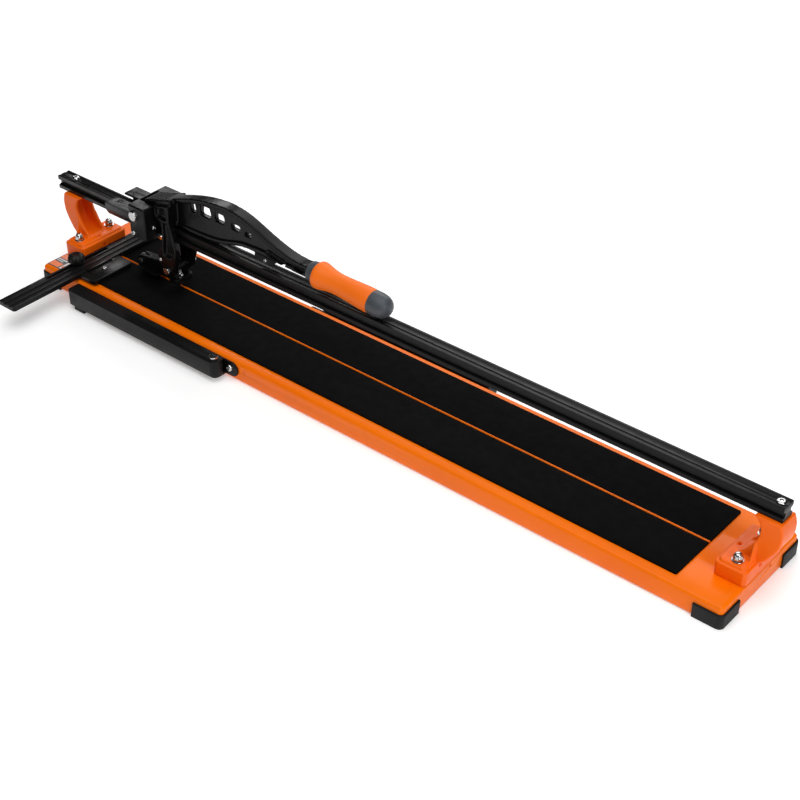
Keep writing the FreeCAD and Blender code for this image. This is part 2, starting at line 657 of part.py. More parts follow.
def carriage():
    """Saddle block on the rail, its bearing covers, rollers and lever bolt."""
    long_side = (BLOCK_LEFT, BLOCK_RIGHT)
    solid = box((BLOCK_LEFT, -D.block_half, D.block_under),
                (BLOCK_RIGHT, D.block_half, D.block_top))
    top = D.block_top.value
    solid = bevelled(solid, Size.of(2.0),
                     lambda edge: edge.BoundBox.ZMin > top - 0.01 or runs_along(edge, "Z"))
    channel = box((long_side[0] - EPS, -(RAIL_HALF + 2.0), D.block_under - EPS),
                  (long_side[1] + EPS, RAIL_HALF + 2.0, RAIL_TOP + 1.2))
    slot = box((-D.pivot_x - D.hub_radius - 1.0, -D.slot_half, D.pivot_z - D.hub_radius - 0.5),
               (BLOCK_RIGHT + EPS, D.slot_half, D.block_top + EPS))
    bore = rod("Y", (PIVOT[0], -D.block_half - EPS, PIVOT[1]),
               D.pivot_dia / 2.0 + D.hole_play, D.block_half * 2.0 + 2.0 * EPS)
    node(cut(solid, channel, slot, bore), "carriage_block")

    for name, side in (("bearing_cover_near", -1), ("bearing_cover_far", 1)):
        o, t = D.cover_half, D.cover_wall
        points = [(8.0, COVER_TOP), (o, COVER_TOP), (o, COVER_TOP - 13.0), (o - 5.5, COVER_TOP - 23.0),
                  (o - 8.0, COVER_TOP - 23.0), (o - t, COVER_TOP - 12.0), (o - t, COVER_TOP - t),
                  (8.0, COVER_TOP - t)]
        cover = prism("YZ", COVER_LEFT, BLOCK_LEFT, [(Size.of(y) * side, z) for y, z in points])
        holes = [rod("Z", (x, ROLLER_Y * side, COVER_TOP - t - EPS), D.axle_dia / 2.0 + 0.02, 12.0)
                 for x in ROLLER_X]
        node(cut(cover, *holes), name)

    axles = []
    for i, x in enumerate(ROLLER_X):
        for name, side in (("near", -1), ("far", 1)):
            y = ROLLER_Y * side
            shaft = fuse(rod("Z", (x, y, ROLLER_Z0 - 1.6), D.axle_dia / 2.0 + 0.9, 1.3),
                         rod("Z", (x, y, ROLLER_Z0 - 1.6), D.axle_dia / 2.0 - 0.02,
                             COVER_TOP - ROLLER_Z0 + 1.6),
                         rod("Z", (x, y, ROLLER_Z0 + D.roller_thick + 0.4), 3.9,
                             COVER_TOP - D.cover_wall - ROLLER_Z0 - D.roller_thick - 0.4))
            axles.append(shaft)
            r, b, h = D.roller_radius, D.axle_dia / 2.0 + D.running, D.roller_thick
            points = [(b, 0.0), (r - 0.6, 0.0), (r, 0.6), (r, h - 0.6), (r - 0.6, h), (b, h)]
            node(lathe(points, spot=(x, y, ROLLER_Z0)),
                 "guide_roller_%s_%d" % (name, i + 1))
    node(group(*axles), "roller_axles")

    near = -D.block_half
    head = hexagon("Y", (PIVOT[0], near - 6.4, PIVOT[1]), 16.0, 6.4)
    shank = rod("Y", (PIVOT[0], near - 6.4, PIVOT[1]), D.pivot_dia / 2.0,
                D.block_half * 2.0 + 6.4 + 12.0)
    node(fuse(head, shank), "lever_pivot_bolt")
    nut = cut(hexagon("Y", (PIVOT[0], D.block_half, PIVOT[1]), 16.0, 8.0),
              rod("Y", (PIVOT[0], D.block_half - EPS, PIVOT[1]), D.pivot_dia / 2.0, 12.0))
    node(nut, "lever_pivot_nut")

    screws = []
    for side in (-1, 1):
        face = D.block_half * side
        screws.append(cap_screw("Y", (BLOCK_LEFT + 8.0, face, D.block_under + 6.0), 5.0, side))
        screws.append(cap_screw("X", (BLOCK_RIGHT, 23.5 * side, 150.0), 4.0, 1))
    node(group(*screws), "carriage_screws")


def cap_screw(axis, spot, radius, outward):
    """A domed screw head on a face, with nothing of its thread modelled."""
    return dome(spot, radius, radius * 0.62, axis=axis, upward=outward > 0)


def spline_face(upper, lower, y):
    """A face in the plane Y = y between two smooth lines, joined by straight ends."""
    wires = []
    for line in (upper, lower):
        curve = Part.BSplineCurve()
        curve.interpolate([Vector(px, y, pz) for px, pz in line])
        wires.append(curve.toShape())
    first = Part.LineSegment(Vector(lower[0][0], y, lower[0][1]),
                             Vector(upper[0][0], y, upper[0][1])).toShape()
    last = Part.LineSegment(Vector(upper[-1][0], y, upper[-1][1]),
                            Vector(lower[-1][0], y, lower[-1][1])).toShape()
    return Part.Face(Part.Wire([first, wires[0], last, wires[1]]))


def slab(upper, lower, half, start=None):
    """A smooth-sided plate of the lever, from start to half across Y."""
    low = -half if start is None else start
    face = spline_face(upper, lower, low)
    return face.extrude(Vector(0, half - low, 0))


def polygon_plate(points, low, high):
    """A straight-sided plate in the XZ plane between two values of Y."""
    ring = [Vector(px, low, pz) for px, pz in points]
    return Part.Face(Part.makePolygon(ring + ring[:1])).extrude(Vector(0, high - low, 0))


def lever_points():
    """Upper and lower lines of the lever's beam, tied to the pivot and the grip."""
    px, pz = -D.pivot_x.value, D.pivot_z.value
    gx, gz = -D.grip_start.value, D.grip_z.value
    reach = gx - px
    top = [(px + reach * t, pz + rise) for t, rise in
           ((0.130, 33.5), (0.260, 49.0), (0.400, 61.0), (0.510, 64.0), (0.620, 58.5),
            (0.725, 44.5), (0.830, 31.0), (0.920, 24.0))]
    slope = math.radians(D.grip_drop.value)
    top.append((gx + 11.5 * math.sin(slope), gz + 11.5 * math.cos(slope)))
    under = [(px + reach * t, pz + rise) for t, rise in
             ((0.130, -13.0), (0.250, -14.0), (0.360, -13.0), (0.460, -9.0), (0.530, -2.5),
              (0.590, 3.0), (0.720, 4.0), (0.870, 2.0))]
    under.append((gx - 12.0 * math.sin(slope), gz - 12.0 * math.cos(slope)))
    return top, under


def lever():
    """The cast lever: hub, head plate, ribbed beam with windows, two legs."""
    px, pz = -D.pivot_x.value, D.pivot_z.value
    sx, sz = -D.shaft_x.value, D.shaft_z.value
    gap, thick = D.leg_gap.value, D.leg_thick.value
    out = gap + thick
    head_half = D.slot_half.value - D.sliding.value
    web = D.web_half.value
    top, under = lever_points()

    hub = Part.makeCylinder(D.hub_radius.value, 2 * head_half, Vector(px, -head_half, pz),
                            Vector(0, 1, 0))
    head = polygon_plate([(px, pz - 10.5), (px + 29, pz - 10.0), (px + 62, pz - 8.0),
                          (px + 62, pz + 38.5), (px + 48, pz + 34.0), (px - 1, pz + 19.7),
                          (px - 3, pz + 15.5), (px - 10.0, pz + 4)], -head_half, head_half)
    beam = slab(top, under, web)
    flange_top = slab(top, [(a, b - 8.0) for a, b in top], 10.5)
    flange_low = slab([(a, b + 7.5) for a, b in under], under, 8.0)
    yoke = polygon_plate([(px + 43, pz - 12.0), (px + 62, pz - 12.0), (px + 64, pz + 30.0),
                          (px + 27.6, pz + 21.0), (px + 27, pz - 0.5), (px + 36, pz - 3.0)],
                         -out, out)
    solid = hub.fuse([head, beam, flange_top, flange_low, yoke])

    leg = [(px + 27.6, pz + 21), (px + 27, pz - 0.5), (px + 36, pz - 3), (px + 42, pz - 10),
           (px + 42, pz - 28), (px + 38, pz - 52), (px + 28, pz - 70), (px + 27, pz - 86),
           (sx - 11, sz - 5),
           (sx - 6, sz - 11), (sx + 3, sz - 12), (sx + 10, sz - 7), (sx + 16, sz + 12),
           (sx + 22, sz + 28), (sx + 23, sz + 45), (sx + 19, sz + 68), (sx + 13, sz + 88),
           (sx + 11, sz + 106), (sx + 14, sz + 125)]
    recess_high = [(px + 32, pz + 17), (px + 32, pz + 3), (px + 46, pz + 1), (px + 56, pz + 1),
                   (px + 56, pz + 23)]
    recess_low = [(px + 47, pz - 6), (px + 57, pz - 6), (px + 63, pz - 36), (px + 67, pz - 54),
                  (px + 58, pz - 69), (px + 43, pz - 68), (px + 43.5, pz - 54), (px + 47, pz - 30)]
    for low, high, face in ((-out, -gap, -out), (gap, out, out - 6.0)):
        solid = solid.fuse(polygon_plate(leg, low, high))
        for outline_ in (recess_high, recess_low):
            solid = solid.cut(polygon_plate(outline_, face - 0.01, face + 6.01))

    for t, low, high, width in ((0.285, 25.5, 43.5, 14.0), (0.366, 26.5, 45.5, 25.0),
                                (0.456, 28.0, 43.5, 23.0), (0.556, 26.5, 37.0, 21.0),
                                (0.635, 24.5, 31.5, 17.0)):
        cx = px + (-D.grip_start.value - px) * t
        window = polygon_plate([(cx - width / 2, pz + low), (cx + width / 2 - 4, pz + low),
                                (cx + width / 2, pz + low + 5), (cx + width / 2 - 2, pz + high),
                                (cx - width / 2 + 2, pz + high)], -out, out)
        solid = solid.cut(window)
    lower_room = polygon_plate([(px + 62, pz - 14.4), (px + 62, pz - 60), (px + 100, pz - 60),
                                (px + 100, pz - 14.4)], -gap, gap)
    solid = solid.cut(lower_room)
    saddle = Part.makeBox(40, 2 * gap, 60, Vector(px + 26, -gap, RAIL_TOP.value - 58))
    solid = solid.cut(saddle)
    pivot = Part.makeCylinder(D.pivot_dia.value / 2 + D.running.value, 2 * out,
                              Vector(px, -out, pz), Vector(0, 1, 0))
    shaft = Part.makeCylinder(D.shaft_dia.value / 2 + 0.02, 2 * out + 2,
                              Vector(sx, -out - 1, sz), Vector(0, 1, 0))
    seat_x, seat_z = bumper_seat()
    seat_x, seat_z = seat_x.value, seat_z.value
    solid = solid.fuse(Part.makeBox(40, 16, 9, Vector(seat_x - 20, -8, seat_z)))
    solid = solid.cut(Part.makeBox(42, 40, 20, Vector(seat_x - 21, -20, seat_z - 20)))
    start = Vector(-D.grip_start.value, 0, D.grip_z.value)
    solid = solid.cut(Part.makeCylinder(60, 40, start, grip_axis()))
    tang = Part.makeCylinder(8.0, 70, start - grip_axis() * 4, grip_axis())
    solid = solid.fuse(tang).cut(pivot).cut(shaft).removeSplitter()
    casting = doc.addObject("Part::Feature", "Lever")
    casting.Shape = solid
    casting.Placement = Placement()
    node(casting, "lever_arm")


def bumper_seat():
    """Middle and height of the flat under the lever that holds its bumper."""
    return -D.pivot_x + 261.0, D.pivot_z + 4.4


def grip_axis():
    """Direction of the grip, falling slightly to the right."""
    slope = math.radians(D.grip_drop.value)
    return Vector(math.cos(slope), 0, -math.sin(slope))


def grip():
    """Collar, moulded sleeve and end cap on the lever's tang."""
    tilt = Rotation(Vector(0, 1, 0), 90 + D.grip_drop.value)
    bore = 8.02
    slope = math.radians(D.grip_drop.value)

    def along(distance):
        return (-D.grip_start + distance * math.cos(slope), 0.0,
                D.grip_z - distance * math.sin(slope))

    h = D.grip_collar
    collar = [(bore, 0.0), (15.5, 0.0), (16.5, 1.0), (16.5, 3.6), (15.6, 4.2), (15.6, 5.4),
              (17.4, 6.0), (17.4, 8.6), (16.4, 9.2), (16.4, 10.4), (18.4, 11.0), (18.8, h),
              (bore, h)]
    node(lathe(collar, tilt, along(Size.of(0.0))), "grip_collar")
    n = D.grip_long
    depth = 55.0
    flank = flowing([(21.0, 0.0), (22.3, 3.0), (22.2, 8.0), (20.2, 17.0), (18.2, 28.0),
                     (17.2, 40.0), (17.2, 52.0), (18.0, 68.0), (19.2, 88.0), (19.8, n - 10.0),
                     (19.4, n)], 3)
    sleeve = [(bore, 0.0)] + flank + [(0.0, n), (0.0, depth), (bore, depth)]
    node(lathe(sleeve, tilt, along(D.grip_collar)), "grip_sleeve")
    c = D.grip_cap
    crown = flowing([(19.4, c * 0.0), (19.7, c * 0.22), (19.4, c * 0.42), (18.2, c * 0.62),
                     (15.2, c * 0.8), (10.0, c * 0.93), (4.5, c * 0.99)], 3)
    cap = [(0.0, c * 0.0)] + crown + [(0.0, c)]
    node(lathe(cap, tilt, along(D.grip_collar + D.grip_long)), "grip_cap")

    bumper_x, lower = bumper_seat()
    points = [(bumper_x - 20.0, lower - 8.0), (bumper_x - 15.0, lower - 12.5),
              (bumper_x + 14.0, lower - 12.5), (bumper_x + 20.0, lower - 9.0),
              (bumper_x + 20.0, lower), (bumper_x - 20.0, lower)]
    node(prism("XZ", Size.of(-7.5), Size.of(7.5), points), "lever_bumper")
    node(cap_screw("Y", (bumper_x + 4.0, Size.of(-7.5), lower - 6.5), 3.0, -1), "bumper_screw")


def cutting_gear():
    """Cross shaft, breaking foot and the scoring wheel in its holder."""
    out = D.leg_gap + D.leg_thick
    radius = D.shaft_dia / 2.0
    head = hexagon("Y", (SHAFT[0], -out - 5.3, SHAFT[1]), 13.0, 5.3)
    node(fuse(head, rod("Y", (SHAFT[0], -out - 5.3, SHAFT[1]), radius, out * 2.0 + 5.3 + 9.0)),
         "cross_shaft")
    node(cut(hexagon("Y", (SHAFT[0], out, SHAFT[1]), 13.0, 6.5),
             rod("Y", (SHAFT[0], out - EPS, SHAFT[1]), radius, 9.0)), "cross_shaft_nut")

    lug_out = D.leg_gap - 0.4
    lug_in = lug_out - 4.0
    x, z = SHAFT
    bar_top = z - 19.0
    bar_low = z - 27.0
    lugs = []
    for low, high in ((-lug_out, -lug_in), (lug_in, lug_out)):
        lugs.append(rod("Y", (x, low, z), 9.0, high - low))
        lugs.append(box((x - 8.0, low, bar_top - EPS), (x + 8.0, high, z)))
    half = D.foot_bar_half
    bar_points = [(x - 12.0, -half + 5.0), (x - 7.0, -half), (x + 7.0, -half), (x + 12.0, -half + 5.0),
                  (x + 12.0, half - 5.0), (x + 7.0, half), (x - 7.0, half), (x - 12.0, half - 5.0)]
    bar = prism("XY", bar_low, bar_top, bar_points)
    bore = rod("Y", (x, -lug_out - EPS, z), radius + D.running, lug_out * 2.0 + 2.0 * EPS)
    node(cut(fuse(bar, *lugs), bore), "breaking_foot")
    pads = []
    for side in (-1, 1):
        inner = (half - 18.0) * side
        outer = (half - 5.0) * side
        low, high = (inner, outer) if side > 0 else (outer, inner)
        pads.append(box((x - 11.0, low, bar_low - 3.5), (x + 11.0, high, bar_low)))
    node(group(*pads), "foot_pads")
    node(cap_screw("Z", (x + 2.0, Size.of(0.0), bar_top), 4.5, 1), "foot_screw")
    spring = cut(rod("Y", (x, -lug_in + 0.4, z), 7.0, lug_in * 2.0 - 0.8),
                 rod("Y", (x, -lug_in - EPS, z), radius + 0.4, lug_in * 2.0 + 2.0 * EPS))
    node(spring, "foot_spring")

    wx, wz = WHEEL
    cheek_in = D.wheel_thick / 2.0 + 0.5
    cheek_out = cheek_in + 6.0
    rear = -D.pivot_x + 28.0
    rear_z = D.pivot_z - 79.0
    arch = flowing([(rear - 1.0, rear_z + 8.0), (wx + 60.0, wz + 26.0), (wx + 44.0, wz + 16.5),
                    (wx + 20.0, wz + 13.5), (wx + 1.0, wz + 11.0), (wx - 8.0, wz + 4.0),
                    (wx - 9.0, wz - 5.0)], 3)
    side_view = [(wx + 3.0, wz - 7.0), (wx + 34.0, wz - 7.0), (wx + 51.0, wz - 2.0),
                 (wx + 62.0, wz + 14.0), (rear + 11.0, rear_z - 9.0),
                 (rear + 11.0, rear_z + 8.0)] + arch
    arm = prism("XZ", -cheek_out, cheek_out, side_view)
    block = box((rear, -D.leg_gap, rear_z - 7.0), (rear + 11.0, D.leg_gap, rear_z + 7.0))
    guard_half = 21.0
    guard = prism("XY", wz - 8.8, wz - 5.3,
                  flowing([(wx + 52.0, -guard_half + 6.0), (wx + 44.0, -guard_half),
                           (wx + 18.0, -guard_half), (wx + 3.0, -guard_half + 3.0),
                           (wx - 4.0, -guard_half + 10.0), (wx - 5.5, Size.of(0.0)),
                           (wx - 4.0, guard_half - 10.0), (wx + 3.0, guard_half - 3.0),
                           (wx + 18.0, Size.of(guard_half)), (wx + 44.0, Size.of(guard_half)),
                           (wx + 52.0, Size.of(guard_half - 6.0))], 3))
    room = box((wx - 14.0, -cheek_in, wz - 20.0), (wx + D.wheel_radius + 4.0, cheek_in, wz + 30.0))
    axle_hole = rod("Y", (wx, -cheek_out - EPS, wz), 3.02, cheek_out * 2.0 + 2.0 * EPS)
    node(cut(fuse(arm, block, guard), room, axle_hole), "wheel_holder")
    axle = fuse(rod("Y", (wx, -cheek_out - 2.5, wz), 5.0, 2.5),
                rod("Y", (wx, -cheek_out - 2.5, wz), 3.0, cheek_out * 2.0 + 4.5))
    node(axle, "wheel_axle")
    r, t = D.wheel_radius, D.wheel_thick
    points = [(3.0 + D.running, 0.0), (r - 4.0, 0.0), (r, t / 2.0 - 0.15), (r, t / 2.0 + 0.15),
              (r - 4.0, t), (3.0 + D.running, t)]
    node(lathe(points, spot=(wx, -(t / 2.0), wz), axis="Y"), "scoring_wheel")
    screws = [cap_screw("Y", (rear + 5.5, out * side, rear_z), 3.6, side) for side in (-1, 1)]
    node(group(*screws), "holder_screws")


def fence():
    """Ruler across the bed, its side stop and the clamp knob."""
    near, far = -D.fence_near, D.fence_far
    z0, z1 = FENCE_Z0, FENCE_Z1
    corner = Size.of(3.0)
    plan = [(FENCE_X0, near), (FENCE_X1 - corner, near), (FENCE_X1, near + corner),
            (FENCE_X1, far), (FENCE_X0, far)]
    bar = prism("XY", z0, z1, plan)
    slot_x = FENCE_X0 + 7.0
    reach = Size.of(68.0)
    slot = box((slot_x - 3.4, -D.knob_y - reach, z0 - EPS),
               (slot_x + 3.4, -D.knob_y + reach, z1 + EPS))
    grooves = [box((FENCE_X0 + a, near - EPS, z1 - 1.6), (FENCE_X0 + b, far + EPS, z1 + EPS))
               for a, b in ((14.5, 19.5), (27.0, 32.0))]
    node(cut(bar, slot, *grooves), "fence_bar")

    x0 = FENCE_X1 + D.sliding
    x1 = x0 + D.stop_wide
    top = z1 - 1.5
    plate = [(x0, -96.0), (x1 - 3.0, -96.0), (x1, -93.0), (x1, -13.0), (x1 - 3.0, -10.0),
             (x0, -10.0)]
    body = prism("XY", z0, top, plate)
    hook = box((x0 - 2.5, -80.0, z1 + D.sliding), (x0 + 4.0, -26.0, z1 + D.sliding + 1.6))
    post = box((x0 + 0.2, -80.0, top - EPS), (x0 + 4.0, -26.0, z1 + D.sliding + 1.6))
    node(fuse(body, hook, post), "side_stop")
    node(cap_screw("Z", (x0 + 16.0, Size.of(-55.0), top), 4.5, 1), "side_stop_screw")

    r = D.knob_radius
    foot = z1 + D.sliding
    profile = [(0.0, 0.0), (7.5, 0.0), (7.5, 4.0), (r - 1.5, 4.0), (r, 5.5), (r, 12.0),
               (r - 2.5, 15.5), (r - 8.0, 17.5), (0.0, 18.0)]
    knob = lathe(profile, spot=(slot_x, -D.knob_y, foot))
    flutes = []
    for i in range(8):
        angle = math.radians(45.0 * i)
        flutes.append(rod("Z", (slot_x + (r + 1.6) * math.cos(angle),
                                -D.knob_y + (r + 1.6) * math.sin(angle), foot + 3.0), 3.2, 18.0))
    stud_top = foot + 8.0
    stud_low = D.bed_top - D.bed_wall - 9.0
    bore = rod("Z", (slot_x, -D.knob_y, foot - EPS), 3.0 + D.running, 9.0 + EPS)
    node(cut(knob, bore, *flutes), "fence_knob")
    node(rod("Z", (slot_x, -D.knob_y, stud_low), 3.0, stud_top - stud_low), "fence_stud")


def arm_pieces(side):
    """One support arm and its bracket; side -1 is the near arm, +1 the far one."""
    if side < 0:
        px = -D.arm_pivot_x
    else:
        px = D.arm_pivot_x - 2.0 * D.arm_mirror_x
    py = (SIDE_BED[side] + D.arm_out) * side

    def spot(u, v):
        """A place measured from the pivot: u towards the free end, v outwards."""
        return (px + u * side, py + v * side)

    w = D.arm_half
    z0, z1 = D.arm_under, D.arm_top
    n = D.arm_long
    plan = [spot(Size.of(0.0), w), spot(n - 4.0, w), spot(n, w - 4.0), spot(n, -w),
            spot(Size.of(0.0), -w)]
    bar = prism("XY", z0, z1, plan)
    boss = rod("Z", (px, py, z0), w, z1 - z0)
    channel_plan = [spot(24.0, w - 3.0), spot(n - 3.0, w - 3.0), spot(n - 3.0, 3.0 - w),
                    spot(24.0, 3.0 - w)]
    channel = prism("XY", z0 - EPS, z1 - 3.0, channel_plan)
    bolt_hole = rod("Z", (px, py, z0 - EPS), 4.0 + D.running, z1 - z0 + 2.0 * EPS)
    arm = cut(fuse(bar, boss), channel, bolt_hole)

    f = n - 22.0
    foot_plan = [spot(f - 12.0, w - 3.4), spot(f + 12.0, w - 3.4), spot(f + 12.0, 3.4 - w),
                 spot(f - 12.0, 3.4 - w)]
    foot = fuse(prism("XY", Size.of(0.6), z0 + 6.0, foot_plan),
                rod("Z", (px + f * side, py, z0 + 5.0), 5.0, z1 - z0 - 8.0))

    wall_y = SIDE_BED[side] * side
    plate_t = 3.0
    inner, outer = wall_y, wall_y + plate_t * side
    low, high = (inner, outer) if side > 0 else (outer, inner)
    bolt_x = -D.arm_mirror_x - 1.0 * side
    tip_x = bolt_x - 4.0 * side
    ends = sorted([tip_x, px + 13.0 * side], key=lambda size: size.value)
    plate = fuse(box((ends[0], low, Size.of(7.0)), (ends[1], high, Size.of(33.0))),
                 rod("Y", (tip_x, low, 20.0), 13.0, plate_t))
    lug_low = z0 - 4.0
    lug = fuse(prism("XY", lug_low, lug_low + 3.6,
                     [(px - 9.0, inner), (px + 9.0, inner), (px + 9.0, py), (px - 9.0, py)]),
               rod("Z", (px, py, lug_low), 9.0, 3.6))
    holes = [rod("Y", (bolt_x, low - EPS, 21.0), 3.0 + D.hole_play, plate_t + 2.0 * EPS),
             rod("Z", (px, py, lug_low - EPS), 4.0 + D.hole_play, 8.0)]
    bracket = cut(fuse(plate, lug), *holes)

    pivot = fuse(rod("Z", (px, py, lug_low - 1.6), 6.0, 1.6),
                 rod("Z", (px, py, lug_low - 1.6), 4.0, z1 - lug_low + 1.9),
                 hexagon("Z", (px, py, z1 + D.sliding), 13.0, 4.6))
    head_base = outer
    bolt = fuse(dome((bolt_x, head_base, 21.0), 6.0, 4.0, axis="Y", upward=side > 0),
                rod("Y", (bolt_x, wall_y - (8.0 if side > 0 else 3.0), 21.0), 3.0, 11.0))
    return arm, foot, bracket, pivot, bolt


def support_arms():
    """Two equal arms, one turned half round from the other."""
    pivots = []
    bolts = []
    for name, side in (("near", -1), ("far", 1)):
        arm, foot, bracket, pivot, bolt = arm_pieces(side)
        node(arm, "support_arm_%s" % name)
        node(foot, "arm_foot_%s" % name)
        node(bracket, "arm_bracket_%s" % name)
        pivots.append(pivot)
        bolts.append(bolt)
    node(group(*pivots), "arm_pivot_bolts")
    node(group(*bolts), "arm_bracket_bolts")


def check_and_write():
    """Stop on any failed feature or bad solid, then write one file for each node."""
    doc.recompute()
    for obj in doc.Objects:
        if "Invalid" in obj.State or "Error" in obj.State:
            raise RuntimeError("%s (%s) failed: %s" % (obj.Label, obj.Name, obj.State))
    os.makedirs("parts", exist_ok=True)
    for obj in NODES:
        shape = obj.Shape
        if shape.isNull() or not shape.isValid() or not shape.Solids:
            raise RuntimeError("%s has no valid solid" % obj.Label)
        if any(solid.Volume <= 0 for solid in shape.Solids):
            raise RuntimeError("%s is inside out" % obj.Label)
        shape.exportStep("parts/%s.step" % obj.Label)
        print("%-26s %2d solid(s) %12.1f mm3" % (obj.Label, len(shape.Solids), shape.Volume))
    print(len(NODES), "nodes")


bed()
towers()
rail()
carriage()
lever()
grip()
cutting_gear()
fence()
support_arms()
check_and_write()
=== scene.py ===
"""Looks of a manual rail tile cutter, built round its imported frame.

Every sub-assembly is a class that reads its places from the frame, builds its meshes in
metres and dresses them.  Millimetre sizes are written as mm(value).
"""

import logging
import math
from dataclasses import dataclass, field, replace
from enum import Enum
from typing import Iterable, Sequence

import bmesh
import bpy
from mathutils import Matrix, Vector


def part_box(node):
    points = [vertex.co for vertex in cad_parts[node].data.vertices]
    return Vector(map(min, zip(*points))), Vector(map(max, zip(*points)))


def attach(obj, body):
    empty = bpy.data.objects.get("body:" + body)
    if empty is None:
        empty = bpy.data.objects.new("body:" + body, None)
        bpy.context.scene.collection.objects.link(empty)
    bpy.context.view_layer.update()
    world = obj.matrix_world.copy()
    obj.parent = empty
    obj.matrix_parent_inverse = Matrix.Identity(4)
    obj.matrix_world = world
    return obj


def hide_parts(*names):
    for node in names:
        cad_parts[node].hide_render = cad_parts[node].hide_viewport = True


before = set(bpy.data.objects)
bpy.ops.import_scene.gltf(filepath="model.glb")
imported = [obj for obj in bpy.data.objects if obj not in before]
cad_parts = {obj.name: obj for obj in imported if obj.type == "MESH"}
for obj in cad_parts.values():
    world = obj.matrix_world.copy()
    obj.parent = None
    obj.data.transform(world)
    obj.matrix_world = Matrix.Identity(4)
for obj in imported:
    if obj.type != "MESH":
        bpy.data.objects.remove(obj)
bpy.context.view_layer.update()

log = logging.getLogger("tile_cutter")
Point2 = tuple[float, float]


def mm(value: float) -> float:
    """Millimetres as metres."""
    return value * 0.001


class Axis(Enum):
    """The three directions of the shared frame."""

    X = 0
    Y = 1
    Z = 2

    @property
    def turn(self) -> Matrix:
        """The rotation that carries +Z onto this axis."""
        if self is Axis.X:
            return Matrix.Rotation(math.radians(90), 4, "Y")
        if self is Axis.Y:
            return Matrix.Rotation(math.radians(-90), 4, "X")
        return Matrix.Identity(4)


class Span:
    """A node's box at rest."""

    def __init__(self, node: str) -> None:
        """Read the box of one CAD node."""
        self.low, self.high = (Vector(corner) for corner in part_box(node))

    @property
    def mid(self) -> Vector:
        """Its middle."""
        return (self.low + self.high) / 2

    @property
    def size(self) -> Vector:
        """Its length along each axis."""
        return self.high - self.low


# ---------------------------------------------------------------- finishes


class Grain(Enum):
    """What the fine relief of a finish looks like."""

    PEEL = "orange peel of sprayed paint"
    CAST = "sand-cast skin under paint"
    BRUSHED = "fine lines along the extrusion"
    PEBBLE = "moulded leather-like pebbling"
    DOTS = "small regular bumps of a non-slip mat"
    SMOOTH = "polished, with faint handling marks"


@dataclass(frozen=True)
class Finish:
    """A procedural surface finish.

    Sizes are in metres, colours are linear.
    """

    name: str
    slot: str
    colour: tuple[float, float, float]
    dark: tuple[float, float, float]
    roughness: float
    spread: float = 0.08
    metallic: float = 0.0
    coat: float = 0.0
    grain: Grain = Grain.PEEL
    scale: float = 900.0
    depth: float = 0.00005
    along: Axis = Axis.X
    # Edges lightened toward a grey: partly wear, partly a painted highlight along the edges.
    edge_wear_and_highlight: float = 0.0
    edge_wear_and_highlight_colour: tuple[float, float, float] = (0.5, 0.5, 0.5)
    specular: float = 0.5

    def material(self) -> bpy.types.Material:
        """The Blender material of this finish, made once."""
        known = bpy.data.materials.get(self.name)
        if known:
            return known
        made = bpy.data.materials.new(self.name)
        made.use_nodes = True
        tree = Tree(made.node_tree)
        shader = tree.find("Principled BSDF")
        shader.inputs["Metallic"].default_value = self.metallic
        shader.inputs["Coat Weight"].default_value = self.coat
        shader.inputs["Coat Roughness"].default_value = 0.08
        shader.inputs["Specular IOR Level"].default_value = self.specular
        place = tree.add("ShaderNodeTexCoord").outputs["Object"]
        cloud = tree.noise(place, 9.0, detail=4.0)
        mixed = tree.mix(cloud, self.dark, self.colour, low=0.32, high=0.62)
        # Pointy edges blend in patches toward a lighter grey: partly edge wear, partly a painted highlight.
        if self.edge_wear_and_highlight > 0:
            edge = tree.add("ShaderNodeNewGeometry").outputs["Pointiness"]
            patchy = tree.noise(place, 160.0, detail=3.0)
            wear_and_highlight_edge = tree.ramp(edge, 0.53, 0.60)
            amount = tree.math("MULTIPLY", wear_and_highlight_edge, patchy)
            amount = tree.math("MULTIPLY", amount, self.edge_wear_and_highlight)
            mixed = tree.blend(amount, mixed, self.edge_wear_and_highlight_colour)
        tree.link(mixed, shader.inputs["Base Color"])
        fine = tree.noise(place, 70.0, detail=5.0)
        tree.link(
            tree.remap(fine, 0.3, 0.7, self.roughness - self.spread, self.roughness + self.spread),
            shader.inputs["Roughness"],
        )
        tree.link(self._relief(tree, place), shader.inputs["Normal"])
        return made

    def _relief(self, tree: "Tree", place: bpy.types.NodeSocket) -> bpy.types.NodeSocket:
        """The bump of this finish.

        Args:
            tree: the material's nodes.
            place: the coordinates to work in.

        Returns:
            The normal to give the shader.
        """
        if self.grain is Grain.BRUSHED:
            stretch = [self.scale] * 3
            stretch[self.along.value] = self.scale * 0.012
            height = tree.noise(tree.stretched(place, stretch), 1.0, detail=2.0)
        elif self.grain is Grain.PEBBLE:
            cells = tree.cells(place, self.scale)
            height = tree.math("ADD", cells, tree.noise(place, self.scale * 0.4, detail=2.0))
        elif self.grain is Grain.DOTS:
            height = tree.ramp(tree.cells(place, self.scale, randomness=0.25), 0.15, 0.5)
        elif self.grain is Grain.CAST:
            rough = tree.noise(place, self.scale, detail=6.0)
            height = tree.math("ADD", rough, tree.noise(place, self.scale * 0.12, detail=2.0))
        else:
            height = tree.noise(place, self.scale, detail=3.0)
        return tree.bump(height, self.depth)


